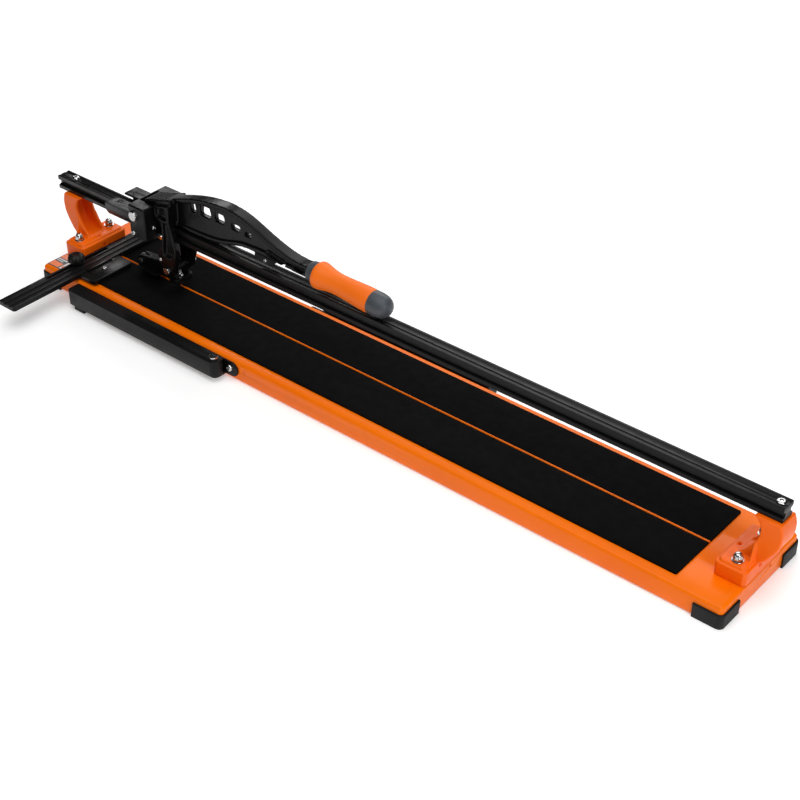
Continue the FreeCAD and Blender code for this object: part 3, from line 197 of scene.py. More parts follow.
class Tree:
    """Short ways to add and link nodes."""

    def __init__(self, tree: bpy.types.NodeTree) -> None:
        """Work in this node tree."""
        self.tree = tree

    def add(self, kind: str, **settings: object) -> bpy.types.Node:
        """Add a node and set its properties.

        Args:
            kind: its type.
            settings: a value for each property.

        Returns:
            The node.
        """
        made = self.tree.nodes.new(kind)
        for key, value in settings.items():
            setattr(made, key, value)
        return made

    def find(self, name: str) -> bpy.types.Node:
        """A node that is already there."""
        return self.tree.nodes[name]

    def link(self, source: bpy.types.NodeSocket, target: bpy.types.NodeSocket) -> None:
        """Join two sockets."""
        self.tree.links.new(source, target)

    def put(self, socket: bpy.types.NodeSocket, value: object) -> None:
        """Give a socket a link or a value.

        Args:
            socket: the input.
            value: a socket to link, a number or a colour.
        """
        if isinstance(value, bpy.types.NodeSocket):
            self.link(value, socket)
        elif isinstance(value, tuple) and len(value) == 3 and socket.type == "RGBA":
            socket.default_value = (*value, 1.0)
        else:
            socket.default_value = value

    def noise(self, place: bpy.types.NodeSocket, scale: float, detail: float) -> bpy.types.NodeSocket:
        """A cloudy value between 0 and 1.

        Args:
            place: the coordinates.
            scale: clouds per metre.
            detail: levels of finer cloud.

        Returns:
            The value.
        """
        made = self.add("ShaderNodeTexNoise")
        self.link(place, made.inputs["Vector"])
        made.inputs["Scale"].default_value = scale
        made.inputs["Detail"].default_value = detail
        return made.outputs["Fac"]

    def cells(
        self, place: bpy.types.NodeSocket, scale: float, randomness: float = 1.0
    ) -> bpy.types.NodeSocket:
        """Distance to the middle of rounded cells.

        Args:
            place: the coordinates.
            scale: cells per metre.
            randomness: 0 for a square grid, 1 for scattered cells.

        Returns:
            The distance.
        """
        made = self.add("ShaderNodeTexVoronoi", feature="SMOOTH_F1")
        self.link(place, made.inputs["Vector"])
        made.inputs["Scale"].default_value = scale
        made.inputs["Randomness"].default_value = randomness
        return made.outputs["Distance"]

    def stretched(
        self, place: bpy.types.NodeSocket, factors: Sequence[float]
    ) -> bpy.types.NodeSocket:
        """Coordinates scaled by a different factor along each axis.

        Args:
            place: the coordinates.
            factors: one for each axis.

        Returns:
            The new coordinates.
        """
        made = self.add("ShaderNodeMapping")
        self.link(place, made.inputs["Vector"])
        made.inputs["Scale"].default_value = tuple(factors)
        return made.outputs["Vector"]

    def math(self, operation: str, first: object, second: object = 0.0) -> bpy.types.NodeSocket:
        """One step of arithmetic.

        Args:
            operation: the kind of step.
            first: a number or a link.
            second: another of the same.

        Returns:
            The outcome.
        """
        made = self.add("ShaderNodeMath", operation=operation)
        self.put(made.inputs[0], first)
        self.put(made.inputs[1], second)
        return made.outputs["Value"]

    def remap(
        self, value: bpy.types.NodeSocket, low: float, high: float, out_low: float, out_high: float
    ) -> bpy.types.NodeSocket:
        """A value moved from one range to another, clamped.

        Args:
            value: the value to move.
            low: foot of its range.
            high: top of its range.
            out_low: foot of the new range.
            out_high: top of the new range.

        Returns:
            The moved value.
        """
        made = self.add("ShaderNodeMapRange")
        self.link(value, made.inputs["Value"])
        limits = (("From Min", low), ("From Max", high), ("To Min", out_low), ("To Max", out_high))
        for name, number in limits:
            made.inputs[name].default_value = number
        return made.outputs["Result"]

    def ramp(self, value: bpy.types.NodeSocket, low: float, high: float) -> bpy.types.NodeSocket:
        """0 below low, 1 above high, smooth between."""
        return self.remap(value, low, high, 0.0, 1.0)

    def blend(self, amount: object, first: object, second: object) -> bpy.types.NodeSocket:
        """A colour between two colours.

        Args:
            amount: share of the second.
            first: a colour or a link.
            second: another of the same.

        Returns:
            The colour.
        """
        made = self.add("ShaderNodeMix", data_type="RGBA")
        self.put(made.inputs["Factor"], amount)
        self.put(made.inputs[6], first)
        self.put(made.inputs[7], second)
        return made.outputs[2]

    def mix(
        self, value: bpy.types.NodeSocket, first: object, second: object, low: float, high: float
    ) -> bpy.types.NodeSocket:
        """A colour that follows a value between two limits."""
        return self.blend(self.ramp(value, low, high), first, second)

    def bump(self, height: bpy.types.NodeSocket, depth: float) -> bpy.types.NodeSocket:
        """A normal bumped by a height of the given depth in metres.

        Args:
            height: the relief, from 0 to 1.
            depth: its full depth.

        Returns:
            The normal.
        """
        made = self.add("ShaderNodeBump")
        made.inputs["Strength"].default_value = 1.0
        made.inputs["Distance"].default_value = depth
        self.link(height, made.inputs["Height"])
        return made.outputs["Normal"]


TRAY_PAINT = Finish(
    "tray powder coat", "orange_steel", (1.0, 0.185, 0.0), (0.96, 0.168, 0.0), 0.36, 0.05,
    coat=0.03, grain=Grain.PEEL, scale=650.0, depth=0.00004, specular=0.14,
)
CAST_PAINT = Finish(
    "tower paint", "orange_casting", (0.99, 0.150, 0.001), (0.94, 0.135, 0.001), 0.40, 0.06,
    coat=0.04, grain=Grain.CAST, scale=900.0, depth=0.00006, specular=0.2,
)
MAT_RUBBER = Finish(
    "mat rubber", "mat_rubber", (0.0030, 0.0030, 0.0031), (0.0024, 0.0024, 0.0025), 0.78, 0.06,
    grain=Grain.DOTS, scale=1400.0, depth=0.00012, specular=0.05,
)
CORNER_RUBBER = Finish(
    "corner rubber", "foot_rubber", (0.0075, 0.0075, 0.008), (0.0055, 0.0055, 0.006), 0.55, 0.08,
    grain=Grain.PEBBLE, scale=1500.0, depth=0.00005, specular=0.2,
)
# Its lighter edges are partly wear, partly a painted highlight.
RAIL_BLACK = Finish(
    "anodised extrusion", "black_aluminium", (0.0040, 0.0040, 0.0043), (0.0030, 0.0030, 0.0033), 0.32, 0.06,
    grain=Grain.BRUSHED, scale=4200.0, depth=0.000012, edge_wear_and_highlight=0.06,
    edge_wear_and_highlight_colour=(0.10, 0.10, 0.105), specular=0.15,
)
# Its lighter edges are partly wear, partly a painted highlight.
BAR_BLACK = Finish(
    "anodised bar", "black_aluminium", (0.0045, 0.0045, 0.0048), (0.0034, 0.0034, 0.0037), 0.38, 0.06,
    grain=Grain.BRUSHED, along=Axis.Y, scale=4200.0, depth=0.000012, edge_wear_and_highlight=0.06,
    edge_wear_and_highlight_colour=(0.10, 0.10, 0.105), specular=0.16,
)
ARM_BLACK = replace(BAR_BLACK, name="anodised arm", along=Axis.X, specular=0.18)
LEVER_BLACK = Finish(
    "lever paint", "black_casting", (0.0034, 0.0034, 0.0036), (0.0026, 0.0026, 0.0028), 0.24, 0.04,
    coat=0.03, grain=Grain.PEEL, scale=420.0, depth=0.00005, specular=0.13,
)
# Its lighter edges are partly wear, partly a painted highlight.
CAST_BLACK = Finish(
    "block paint", "black_casting", (0.0044, 0.0044, 0.0046), (0.0034, 0.0034, 0.0036), 0.34, 0.06,
    grain=Grain.CAST, scale=800.0, depth=0.00005, edge_wear_and_highlight=0.08, edge_wear_and_highlight_colour=(0.09, 0.09, 0.09),
    specular=0.2,
)
# Its lighter edges are partly wear, partly a painted highlight.
SHEET_BLACK = Finish(
    "black sheet paint", "black_steel", (0.0044, 0.0044, 0.0046), (0.0034, 0.0034, 0.0036), 0.32, 0.06,
    grain=Grain.PEEL, scale=800.0, depth=0.00004, edge_wear_and_highlight=0.08, edge_wear_and_highlight_colour=(0.10, 0.10, 0.10),
    specular=0.2,
)
CHROME = Finish(
    "bright zinc", "chrome", (0.56, 0.56, 0.56), (0.46, 0.46, 0.46), 0.20, 0.05,
    metallic=1.0, grain=Grain.SMOOTH, scale=500.0, depth=0.000012,
)
BARE_STEEL = Finish(
    "ground steel", "steel", (0.42, 0.42, 0.43), (0.32, 0.32, 0.33), 0.30, 0.06,
    metallic=1.0, grain=Grain.SMOOTH, scale=1500.0, depth=0.00001,
)
CARBIDE = Finish(
    "wheel carbide", "carbide", (0.42, 0.42, 0.44), (0.30, 0.30, 0.32), 0.24, 0.05,
    metallic=1.0, grain=Grain.SMOOTH, scale=1500.0, depth=0.00001,
)
GRIP_RUBBER = Finish(
    "grip rubber", "grip_rubber", (0.98, 0.185, 0.010), (0.94, 0.165, 0.008), 0.46, 0.05,
    grain=Grain.PEBBLE, scale=1100.0, depth=0.00003, specular=0.22,
)
GREY_PLASTIC = Finish(
    "slate plastic", "grey_plastic", (0.072, 0.080, 0.090), (0.060, 0.067, 0.076), 0.40, 0.05,
    grain=Grain.PEBBLE, scale=1300.0, depth=0.00002, specular=0.35,
)
KNOB_PLASTIC = Finish(
    "knob plastic", "knob_plastic", (0.0075, 0.0073, 0.0071), (0.0058, 0.0056, 0.0054), 0.42, 0.06,
    grain=Grain.PEBBLE, scale=1500.0, depth=0.00003, specular=0.25,
)
LABEL_BLACK = Finish(
    "label ink", "label", (0.010, 0.010, 0.011), (0.008, 0.008, 0.009), 0.30, 0.04,
    grain=Grain.SMOOTH, scale=700.0, depth=0.00001,
)
LABEL_ORANGE = replace(
    LABEL_BLACK, name="label orange", colour=(0.95, 0.17, 0.006), dark=(0.90, 0.155, 0.006)
)
LABEL_WHITE = replace(
    LABEL_BLACK, name="label white", colour=(0.80, 0.80, 0.80), dark=(0.74, 0.74, 0.74)
)


# ---------------------------------------------------------------- mesh work


def dress(piece: bpy.types.Object, finish: Finish) -> None:
    """Give a piece one finish."""
    piece.data.materials.clear()
    piece.data.materials.append(finish.material())


def settle(piece: bpy.types.Object) -> bpy.types.Object:
    """Turn a piece and its modifiers into one plain mesh.

    Args:
        piece: the object to settle.

    Returns:
        The same object, without modifiers.
    """
    bpy.context.view_layer.update()
    graph = bpy.context.evaluated_depsgraph_get()
    plain = bpy.data.meshes.new_from_object(piece.evaluated_get(graph))
    plain.name = piece.name
    piece.modifiers.clear()
    piece.data = plain
    return piece


def new_object(name: str, form: bmesh.types.BMesh) -> bpy.types.Object:
    """An object from a mesh under construction, linked into the scene.

    Args:
        name: the name of the object and its mesh.
        form: the mesh, which is used up.

    Returns:
        The new object.
    """
    mesh = bpy.data.meshes.new(name)
    form.to_mesh(mesh)
    form.free()
    piece = bpy.data.objects.new(name, mesh)
    bpy.context.scene.collection.objects.link(piece)
    return piece


def round_edges(piece: bpy.types.Object, width: float, steps: int = 2, angle: float = 32.0) -> None:
    """Bevel the sharp edges of a piece and shade it smoothly.

    Args:
        piece: the piece to work on.
        width: width of the broken edge.
        steps: faces across it.
        angle: least turn of an edge that counts as sharp.
    """
    bevel = piece.modifiers.new("edges", "BEVEL")
    bevel.width = width
    bevel.segments = steps
    bevel.limit_method = "ANGLE"
    bevel.angle_limit = math.radians(angle)
    bevel.harden_normals = True
    bevel.use_clamp_overlap = True
    piece.data.shade_smooth()
    settle(piece)


def join_kit(
    piece: bpy.types.Object, body: str, finish: Finish, nodes: Iterable[str] = ()
) -> bpy.types.Object:
    """Hand a finished piece to the frame.

    Args:
        piece: the piece, with its place in its mesh.
        body: the CAD body it moves with.
        finish: its surface.
        nodes: the CAD nodes that it stands for.

    Returns:
        The piece.
    """
    if not piece.data.materials:
        dress(piece, finish)
    names = tuple(nodes)
    if names:
        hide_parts(*names)
    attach(piece, body)
    log.info("%s: %d faces, rides on %s", piece.name, len(piece.data.polygons), body)
    return piece


def softened(
    node: str, finish: Finish, body: str, edge: float = mm(0.6), steps: int = 2
) -> bpy.types.Object:
    """A copy of a CAD node with its sharp edges broken as on the real piece.

    Args:
        node: the CAD node.
        finish: its surface.
        body: the body it belongs to.
        edge: width of the broken edge.
        steps: faces across the broken edge.

    Returns:
        The new piece.
    """
    form = merged(node)
    bmesh.ops.dissolve_limit(
        form, angle_limit=math.radians(0.6), verts=form.verts, edges=form.edges, delimit={"NORMAL"}
    )
    piece = new_object("%s_made" % node, form)
    round_edges(piece, edge, steps)
    return join_kit(piece, body, finish, [node])


def islands(node: str) -> list[tuple[Vector, Vector]]:
    """The boxes of a node's separate solids, from left to right.

    Args:
        node: the CAD node.

    Returns:
        A lowest and a highest corner for each solid.
    """
    form = merged(node)
    boxes = []
    waiting = set(form.verts)
    while waiting:
        edge = [waiting.pop()]
        seen = list(edge)
        while edge:
            for link in edge.pop().link_edges:
                for vert in link.verts:
                    if vert in waiting:
                        waiting.discard(vert)
                        edge.append(vert)
                        seen.append(vert)
        low = Vector(min(v.co[i] for v in seen) for i in range(3))
        high = Vector(max(v.co[i] for v in seen) for i in range(3))
        boxes.append((low, high))
    form.free()
    return sorted(boxes, key=lambda pair: (round(pair[0].x, 4), round(pair[0].y, 4)))


def merged(node: str) -> bmesh.types.BMesh:
    """A copy of a node's mesh with its loose triangles joined.

    Args:
        node: the CAD node.

    Returns:
        The mesh under construction.
    """
    form = bmesh.new()
    form.from_mesh(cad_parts[node].data)
    bmesh.ops.remove_doubles(form, verts=form.verts, dist=mm(0.002))
    return form


def cast(
    node: str, finish: Finish, body: str, grid: float, passes: int,
    pockets: Sequence[bpy.types.Object] = (),
) -> bpy.types.Object:
    """A casting: the CAD shape with every edge and inside corner flowing.

    Args:
        node: the CAD node.
        finish: its surface.
        body: the body it belongs to.
        grid: size of the cells that it is remade with.
        passes: how often it is smoothed.
        pockets: shapes to sink into it first, which are used up.

    Returns:
        The new piece.
    """
    piece = new_object("%s_made" % node, merged(node))
    for cutter in pockets:
        sink = piece.modifiers.new("pocket", "BOOLEAN")
        sink.operation = "DIFFERENCE"
        sink.solver = "EXACT"
        sink.object = cutter
        settle(piece)
        bpy.data.objects.remove(cutter)
    remesh = piece.modifiers.new("grid", "REMESH")
    remesh.mode = "VOXEL"
    remesh.voxel_size = grid
    relax = piece.modifiers.new("flow", "SMOOTH")
    relax.factor = 0.5
    relax.iterations = passes
    thin = piece.modifiers.new("thin", "DECIMATE")
    thin.ratio = 0.45
    settle(piece)
    piece.data.shade_smooth()
    return join_kit(piece, body, finish, [node])


# ---------------------------------------------------------------- turned pieces


class Plan(Enum):
    """The outline of one ring of a turned piece, seen along its axis."""

    ROUND = "circle"
    HEX = "hexagon"
    LOBED = "grip lobes"


@dataclass(frozen=True)
class Ring:
    """One ring of a turned piece; a hexagon's radius is half its width across flats."""

    radius: float
    height: float
    plan: Plan = Plan.ROUND

    def reach(self, angle: float) -> float:
        """Distance from the axis in one direction."""
        if self.plan is Plan.HEX:
            return self.radius / math.cos(angle % (math.pi / 3) - math.pi / 6)
        if self.plan is Plan.LOBED:
            return self.radius * (1.0 - 0.13 * (0.5 + 0.5 * math.cos(8 * angle)) ** 3)
        return self.radius


def turned(rings: Sequence[Ring], count: int = 48, bored: bool = False) -> bmesh.types.BMesh:
    """A closed mesh through rings about the Z axis.

    Args:
        rings: from the foot outwards, up and back inwards; a zero radius is a pole.
        count: points on each ring.
        bored: whether the last ring joins the first, for a piece with a hole.

    Returns:
        The mesh under construction.
    """
    form = bmesh.new()
    angles = [2 * math.pi * k / count for k in range(count)]
    loops = []
    for ring in rings:
        if ring.radius <= 0.0:
            loops.append([form.verts.new((0.0, 0.0, ring.height))])
            continue
        loops.append([
            form.verts.new((ring.reach(a) * math.cos(a), ring.reach(a) * math.sin(a), ring.height))
            for a in angles
        ])
    pairs = list(zip(loops, loops[1:]))
    if bored:
        pairs.append((loops[-1], loops[0]))
    for low, high in pairs:
        for i in range(count):
            j = (i + 1) % count
            corners = [low[i % len(low)], low[j % len(low)], high[j % len(high)], high[i % len(high)]]
            form.faces.new(list(dict.fromkeys(corners)))
    bmesh.ops.recalc_face_normals(form, faces=form.faces)
    return form


def flowing(points: Sequence[Point2], steps: int = 4) -> list[Point2]:
    """The points with more put between them, so that the line through them flows.

    Args:
        points: the points to pass through.
        steps: pieces between two of them.

    Returns:
        The fuller line.
    """
    held = [points[0], *points, points[-1]]
    line = []
    for a, b, c, d in zip(held, held[1:], held[2:], held[3:]):
        for k in range(steps):
            t = k / steps
            line.append(tuple(
                0.5 * (2 * b[i] + (c[i] - a[i]) * t + (2 * a[i] - 5 * b[i] + 4 * c[i] - d[i]) * t * t
                       + (3 * b[i] - a[i] - 3 * c[i] + d[i]) * t ** 3)
                for i in (0, 1)
            ))
    line.append(points[-1])
    return line


def stand_on(spot: Vector, axis: Vector, spin: float = 0.0) -> Matrix:
    """The placement that puts a turned piece's foot on a spot, along an axis.

    Args:
        spot: where the foot goes.
        axis: where +Z goes.
        spin: turn about that axis first, in radians.

    Returns:
        The placement.
    """
    turn = axis.to_track_quat("Z", "Y").to_matrix().to_4x4()
    return Matrix.Translation(spot) @ turn @ Matrix.Rotation(spin, 4, "Z")


def edged(piece: bpy.types.Object, angle: float = 30.0) -> bpy.types.Object:
    """Shade a piece smoothly except across its sharp edges.

    Args:
        piece: the piece to shade.
        angle: least turn of a sharp edge, in degrees.

    Returns:
        The same piece.
    """
    piece.data.shade_smooth()
    piece.data.set_sharp_from_angle(angle=math.radians(angle))
    return piece


# ---------------------------------------------------------------- fasteners


def rings(*rows: tuple) -> list[Ring]:
    """Rings from rows of radius, height and, where it isn't round, plan."""
    return [Ring(*row) for row in rows]


class Hardware(Enum):
    """Kinds of fastener, each drawn once with a radius and a height of one."""

    CAP_NUT = "acorn nut"
    HEX_HEAD = "hexagon head"
    HEX_NUT = "hexagon nut"
    WASHER = "washer"
    BUTTON = "button head with a hexagon socket"
    SHANK = "bolt shank"

    def draw(self) -> bmesh.types.BMesh:
        """The fastener's mesh, standing on the origin along Z."""
        h = Plan.HEX
        if self is Hardware.CAP_NUT:
            crown = [(0.94, 0.575), (0.93, 0.62), (0.88, 0.72), (0.78, 0.82), (0.62, 0.905),
                     (0.42, 0.965), (0.2, 0.993), (0.0, 1.0)]
            return turned(rings((0.0, 0.0), (0.93, 0.0), (1.0, 0.03, h), (1.0, 0.47, h), *crown))
        if self is Hardware.HEX_HEAD:
            return turned(rings((0.0, 0.0), (1.0, 0.0, h), (1.0, 0.86, h), (0.97, 1.0), (0.9, 1.0),
                                (0.0, 1.0)))
        if self is Hardware.HEX_NUT:
            return turned(rings((0.62, 0.0), (0.97, 0.0), (1.0, 0.1, h), (1.0, 0.9, h),
                                (0.97, 1.0), (0.66, 1.0), (0.62, 0.95)), bored=True)
        if self is Hardware.WASHER:
            return turned(rings((0.5, 0.0), (1.0, 0.0), (1.0, 0.8), (0.97, 1.0), (0.5, 1.0)),
                          bored=True)
        if self is Hardware.BUTTON:
            return turned(rings((0.0, 0.0), (1.0, 0.0), (0.99, 0.18), (0.93, 0.5), (0.81, 0.78),
                                (0.64, 0.95), (0.5, 1.0), (0.46, 0.98), (0.40, 0.92, h),
                                (0.40, 0.3, h), (0.0, 0.22)))
        return turned(rings((0.0, 0.0), (0.9, 0.0), (1.0, 0.04), (1.0, 0.96), (0.9, 1.0),
                            (0.0, 1.0)), 32)


def scatter_tree() -> bpy.types.NodeTree:
    """Nodes that set a template on every point, turned and sized by the point."""
    known = bpy.data.node_groups.get("set fasteners")
    if known:
        return known
    group = bpy.data.node_groups.new("set fasteners", "GeometryNodeTree")
    face = group.interface
    face.new_socket("Points", in_out="INPUT", socket_type="NodeSocketGeometry")
    face.new_socket("Template", in_out="INPUT", socket_type="NodeSocketObject")
    face.new_socket("Finish", in_out="INPUT", socket_type="NodeSocketMaterial")
    face.new_socket("Pieces", in_out="OUTPUT", socket_type="NodeSocketGeometry")
    tree = Tree(group)
    source = tree.add("NodeGroupInput")
    target = tree.add("NodeGroupOutput")
    template = tree.add("GeometryNodeObjectInfo", transform_space="ORIGINAL")
    tree.link(source.outputs["Template"], template.inputs["Object"])
    turn = tree.add("GeometryNodeInputNamedAttribute", data_type="FLOAT_VECTOR")
    turn.inputs["Name"].default_value = "turn"
    euler = tree.add("FunctionNodeEulerToRotation")
    tree.link(turn.outputs["Attribute"], euler.inputs["Euler"])
    size = tree.add("GeometryNodeInputNamedAttribute", data_type="FLOAT_VECTOR")
    size.inputs["Name"].default_value = "size"
    spread = tree.add("GeometryNodeInstanceOnPoints")
    tree.link(source.outputs["Points"], spread.inputs["Points"])
    tree.link(template.outputs["Geometry"], spread.inputs["Instance"])
    tree.link(euler.outputs["Rotation"], spread.inputs["Rotation"])
    tree.link(size.outputs["Attribute"], spread.inputs["Scale"])
    real = tree.add("GeometryNodeRealizeInstances")
    tree.link(spread.outputs["Instances"], real.inputs["Geometry"])
    paint = tree.add("GeometryNodeSetMaterial")
    tree.link(real.outputs["Geometry"], paint.inputs["Geometry"])
    tree.link(source.outputs["Finish"], paint.inputs["Material"])
    tree.link(paint.outputs["Geometry"], target.inputs["Pieces"])
    return group


def give(piece: bpy.types.Object, group: bpy.types.NodeTree, **values: object) -> None:
    """Put a node tree on a piece, with its named inputs set by their identifiers.

    Args:
        piece: the host object.
        group: the node tree.
        values: a value for each input, by its name.
    """
    modifier = piece.modifiers.new(group.name, "NODES")
    modifier.node_group = group
    for item in group.interface.items_tree:
        key = item.name.replace(" ", "_")
        if getattr(item, "in_out", "") == "INPUT" and key in values:
            modifier[item.identifier] = values[key]


@dataclass
class Seat:
    """Where one fastener sits: its foot, its direction and its sizes in metres."""

    kind: Hardware
    foot: Vector
    axis: Vector
    radius: float
    height: float
    spin: float = 0.0


@dataclass
class FastenerSet:
    """All the fasteners that one piece is made of."""

    node: str
    body: str
    finish: Finish = CHROME
    seats: list[Seat] = field(default_factory=list)

    def add(
        self, kind: Hardware, foot: Sequence[float], axis: Sequence[float], radius: float,
        height: float, spin: float = 0.0,
    ) -> None:
        """Note one more fastener."""
        self.seats.append(Seat(kind, Vector(foot), Vector(axis), radius, height, spin))

    def buttons(self, core: Vector) -> None:
        """A button head for every low dome of the node, facing away from a core.

        Args:
            core: a spot on the inner side of every dome.
        """
        for low, high in islands(self.node):
            size, mid = high - low, (low + high) / 2
            across = min(range(3), key=lambda i: size[i])
            way = 1.0 if mid[across] > core[across] else -1.0
            axis = Vector((0.0, 0.0, 0.0))
            axis[across] = way
            foot = mid.copy()
            foot[across] = low[across] if way > 0 else high[across]
            self.add(Hardware.BUTTON, foot, axis, max(size) / 2, size[across], 0.4)

    def build(self) -> bpy.types.Object:
        """Set the fasteners and hand the piece to the frame."""
        whole = bmesh.new()
        for kind in Hardware:
            chosen = [seat for seat in self.seats if seat.kind is kind]
            if chosen:
                part = self._spread(kind, chosen)
                whole.from_mesh(part.data)
                bpy.data.objects.remove(part)
        piece = new_object("%s_made" % self.node, whole)
        edged(piece)
        dress(piece, self.finish)
        return join_kit(piece, self.body, self.finish, [self.node])

    def _spread(self, kind: Hardware, seats: Sequence[Seat]) -> bpy.types.Object:
        """One kind of fastener on all its seats, as a plain mesh.

        Args:
            kind: the fastener.
            seats: where each one sits.

        Returns:
            An object with the plain mesh.
        """
        template = new_object("template", kind.draw())
        mesh = bpy.data.meshes.new("seats")
        mesh.from_pydata([tuple(seat.foot) for seat in seats], [], [])
        turn = mesh.attributes.new("turn", "FLOAT_VECTOR", "POINT")
        size = mesh.attributes.new("size", "FLOAT_VECTOR", "POINT")
        for i, seat in enumerate(seats):
            turn.data[i].vector = stand_on(Vector(), seat.axis, seat.spin).to_euler()
            size.data[i].vector = (seat.radius, seat.radius, seat.height)
        host = bpy.data.objects.new("seats", mesh)
        bpy.context.scene.collection.objects.link(host)
        give(host, scatter_tree(), Template=template, Finish=self.finish.material())
        settle(host)
        bpy.data.objects.remove(template)
        return host


UP, DOWN = (0.0, 0.0, 1.0), (0.0, 0.0, -1.0)
NEAR, FAR = (0.0, -1.0, 0.0), (0.0, 1.0, 0.0)
M8 = mm(4.0)
HEX_13, HEX_16 = mm(6.5), mm(8.0)


# ---------------------------------------------------------------- bed


@dataclass
class Bed:
    """Tray, mats, ridge, rubber corners and the label."""

    body: str = "base"
    sides: tuple = ((3, 2, 1, 0), (4, 5, 6, 7), (0, 1, 5, 4), (1, 2, 6, 5), (2, 3, 7, 6), (3, 0, 4, 7))

    def build(self) -> None:
        """Make every piece of the bed."""
        softened("base_tray", TRAY_PAINT, self.body, mm(0.5))
        softened("breaking_ridge", TRAY_PAINT, self.body, mm(0.3))
        for side in ("near", "far"):
            softened("mat_%s" % side, MAT_RUBBER, self.body, mm(0.7))
            for end in ("left", "right"):
                softened("corner_foot_%s_%s" % (side, end), CORNER_RUBBER, self.body, mm(0.8), 3)
        self._label()

    def _label(self) -> None:
        """A plain printed label: blocks of colour with no words on them."""
        place = Span("label_plate")
        low, high = place.low, place.high
        form = bmesh.new()
        stripes = (
            # left, right, near and far as shares of the label, the finish and the height's share
            (0.0, 1.0, 0.0, 1.0, 0, 0.7),
            (0.03, 0.97, 0.66, 0.97, 1, 0.85),
            (0.03, 0.55, 0.54, 0.60, 2, 0.85),
            (0.03, 0.42, 0.44, 0.48, 2, 0.85),
            (0.62, 0.97, 0.06, 0.56, 2, 0.85),
            (0.66, 0.93, 0.12, 0.30, 1, 1.0),
            (0.03, 0.55, 0.05, 0.36, 1, 0.85),
        )
        for left, right, near, far, colour, rise in stripes:
            corners = [
                Vector((low.x + (high.x - low.x) * u, low.y + (high.y - low.y) * v, z))
                for z in (low.z, low.z + (high.z - low.z) * rise)
                for u, v in ((left, near), (right, near), (right, far), (left, far))
            ]
            block = [form.verts.new(corner) for corner in corners]
            for order in self.sides:
                form.faces.new([block[k] for k in order]).material_index = colour
        piece = new_object("label_plate_made", form)
        for finish in (LABEL_BLACK, LABEL_ORANGE, LABEL_WHITE):
            piece.data.materials.append(finish.material())
        join_kit(piece, self.body, LABEL_BLACK, ["label_plate"])


# ---------------------------------------------------------------- towers and rail


@dataclass
class TowersAndRail:
    """The two castings, the rail on them and all that bolts them together."""

    body: str = "base"
    grid: float = mm(1.25)

    def build(self) -> None:
        """Make the castings, the rail and the fasteners."""
        for node in ("tower_left", "tower_right"):
            cast(node, CAST_PAINT, self.body, self.grid, 5)
        softened("rail", RAIL_BLACK, self.body, mm(0.35))
        self._cap_nuts()
        self._rail_bolts()

    def _cap_nuts(self) -> None:
        """Acorn nuts on washers, and the hexagon bolts below the tray."""
        nuts = FastenerSet("tower_cap_nuts", self.body)
        for k, (low, high) in enumerate(islands("tower_cap_nuts")):
            mid = (low + high) / 2
            nuts.add(Hardware.CAP_NUT, (mid.x, mid.y, low.z), UP, HEX_13, high.z - low.z, 0.3 + k)
        nuts.build()
        washers = FastenerSet("tower_washers", self.body)
        for low, high in islands("tower_washers"):
            mid = (low + high) / 2
            washers.add(Hardware.WASHER, (mid.x, mid.y, low.z), UP, (high.x - low.x) / 2, high.z - low.z)
        washers.build()
        bolts = FastenerSet("tower_bolts", self.body)
        for low, high in islands("tower_bolts"):
            mid = (low + high) / 2
            head, sunk = mm(5.5), mm(0.2)
            bolts.add(Hardware.HEX_HEAD, (mid.x, mid.y, low.z + head), DOWN, HEX_13, head)
            bolts.add(Hardware.SHANK, (mid.x, mid.y, low.z + sunk), UP, M8, high.z - low.z - sunk)
        bolts.build()

    def _rail_bolts(self) -> None:
        """The screws through the rail's ends and their nuts."""
        rail_top = Span("rail").high.z
        bolts = FastenerSet("rail_bolts", self.body)
        for low, high in islands("rail_bolts"):
            mid = (low + high) / 2
            bolts.add(Hardware.BUTTON, (mid.x, mid.y, rail_top), UP, mm(7.0), high.z - rail_top, 0.2)
            bolts.add(Hardware.SHANK, (mid.x, mid.y, low.z), UP, M8, rail_top - low.z)
        bolts.build()
        nuts = FastenerSet("rail_nuts", self.body)
        for low, high in islands("rail_nuts"):
            mid = (low + high) / 2
            nuts.add(Hardware.HEX_NUT, (mid.x, mid.y, low.z), UP, HEX_13, high.z - low.z, 0.5)
        nuts.build()


# ---------------------------------------------------------------- carriage


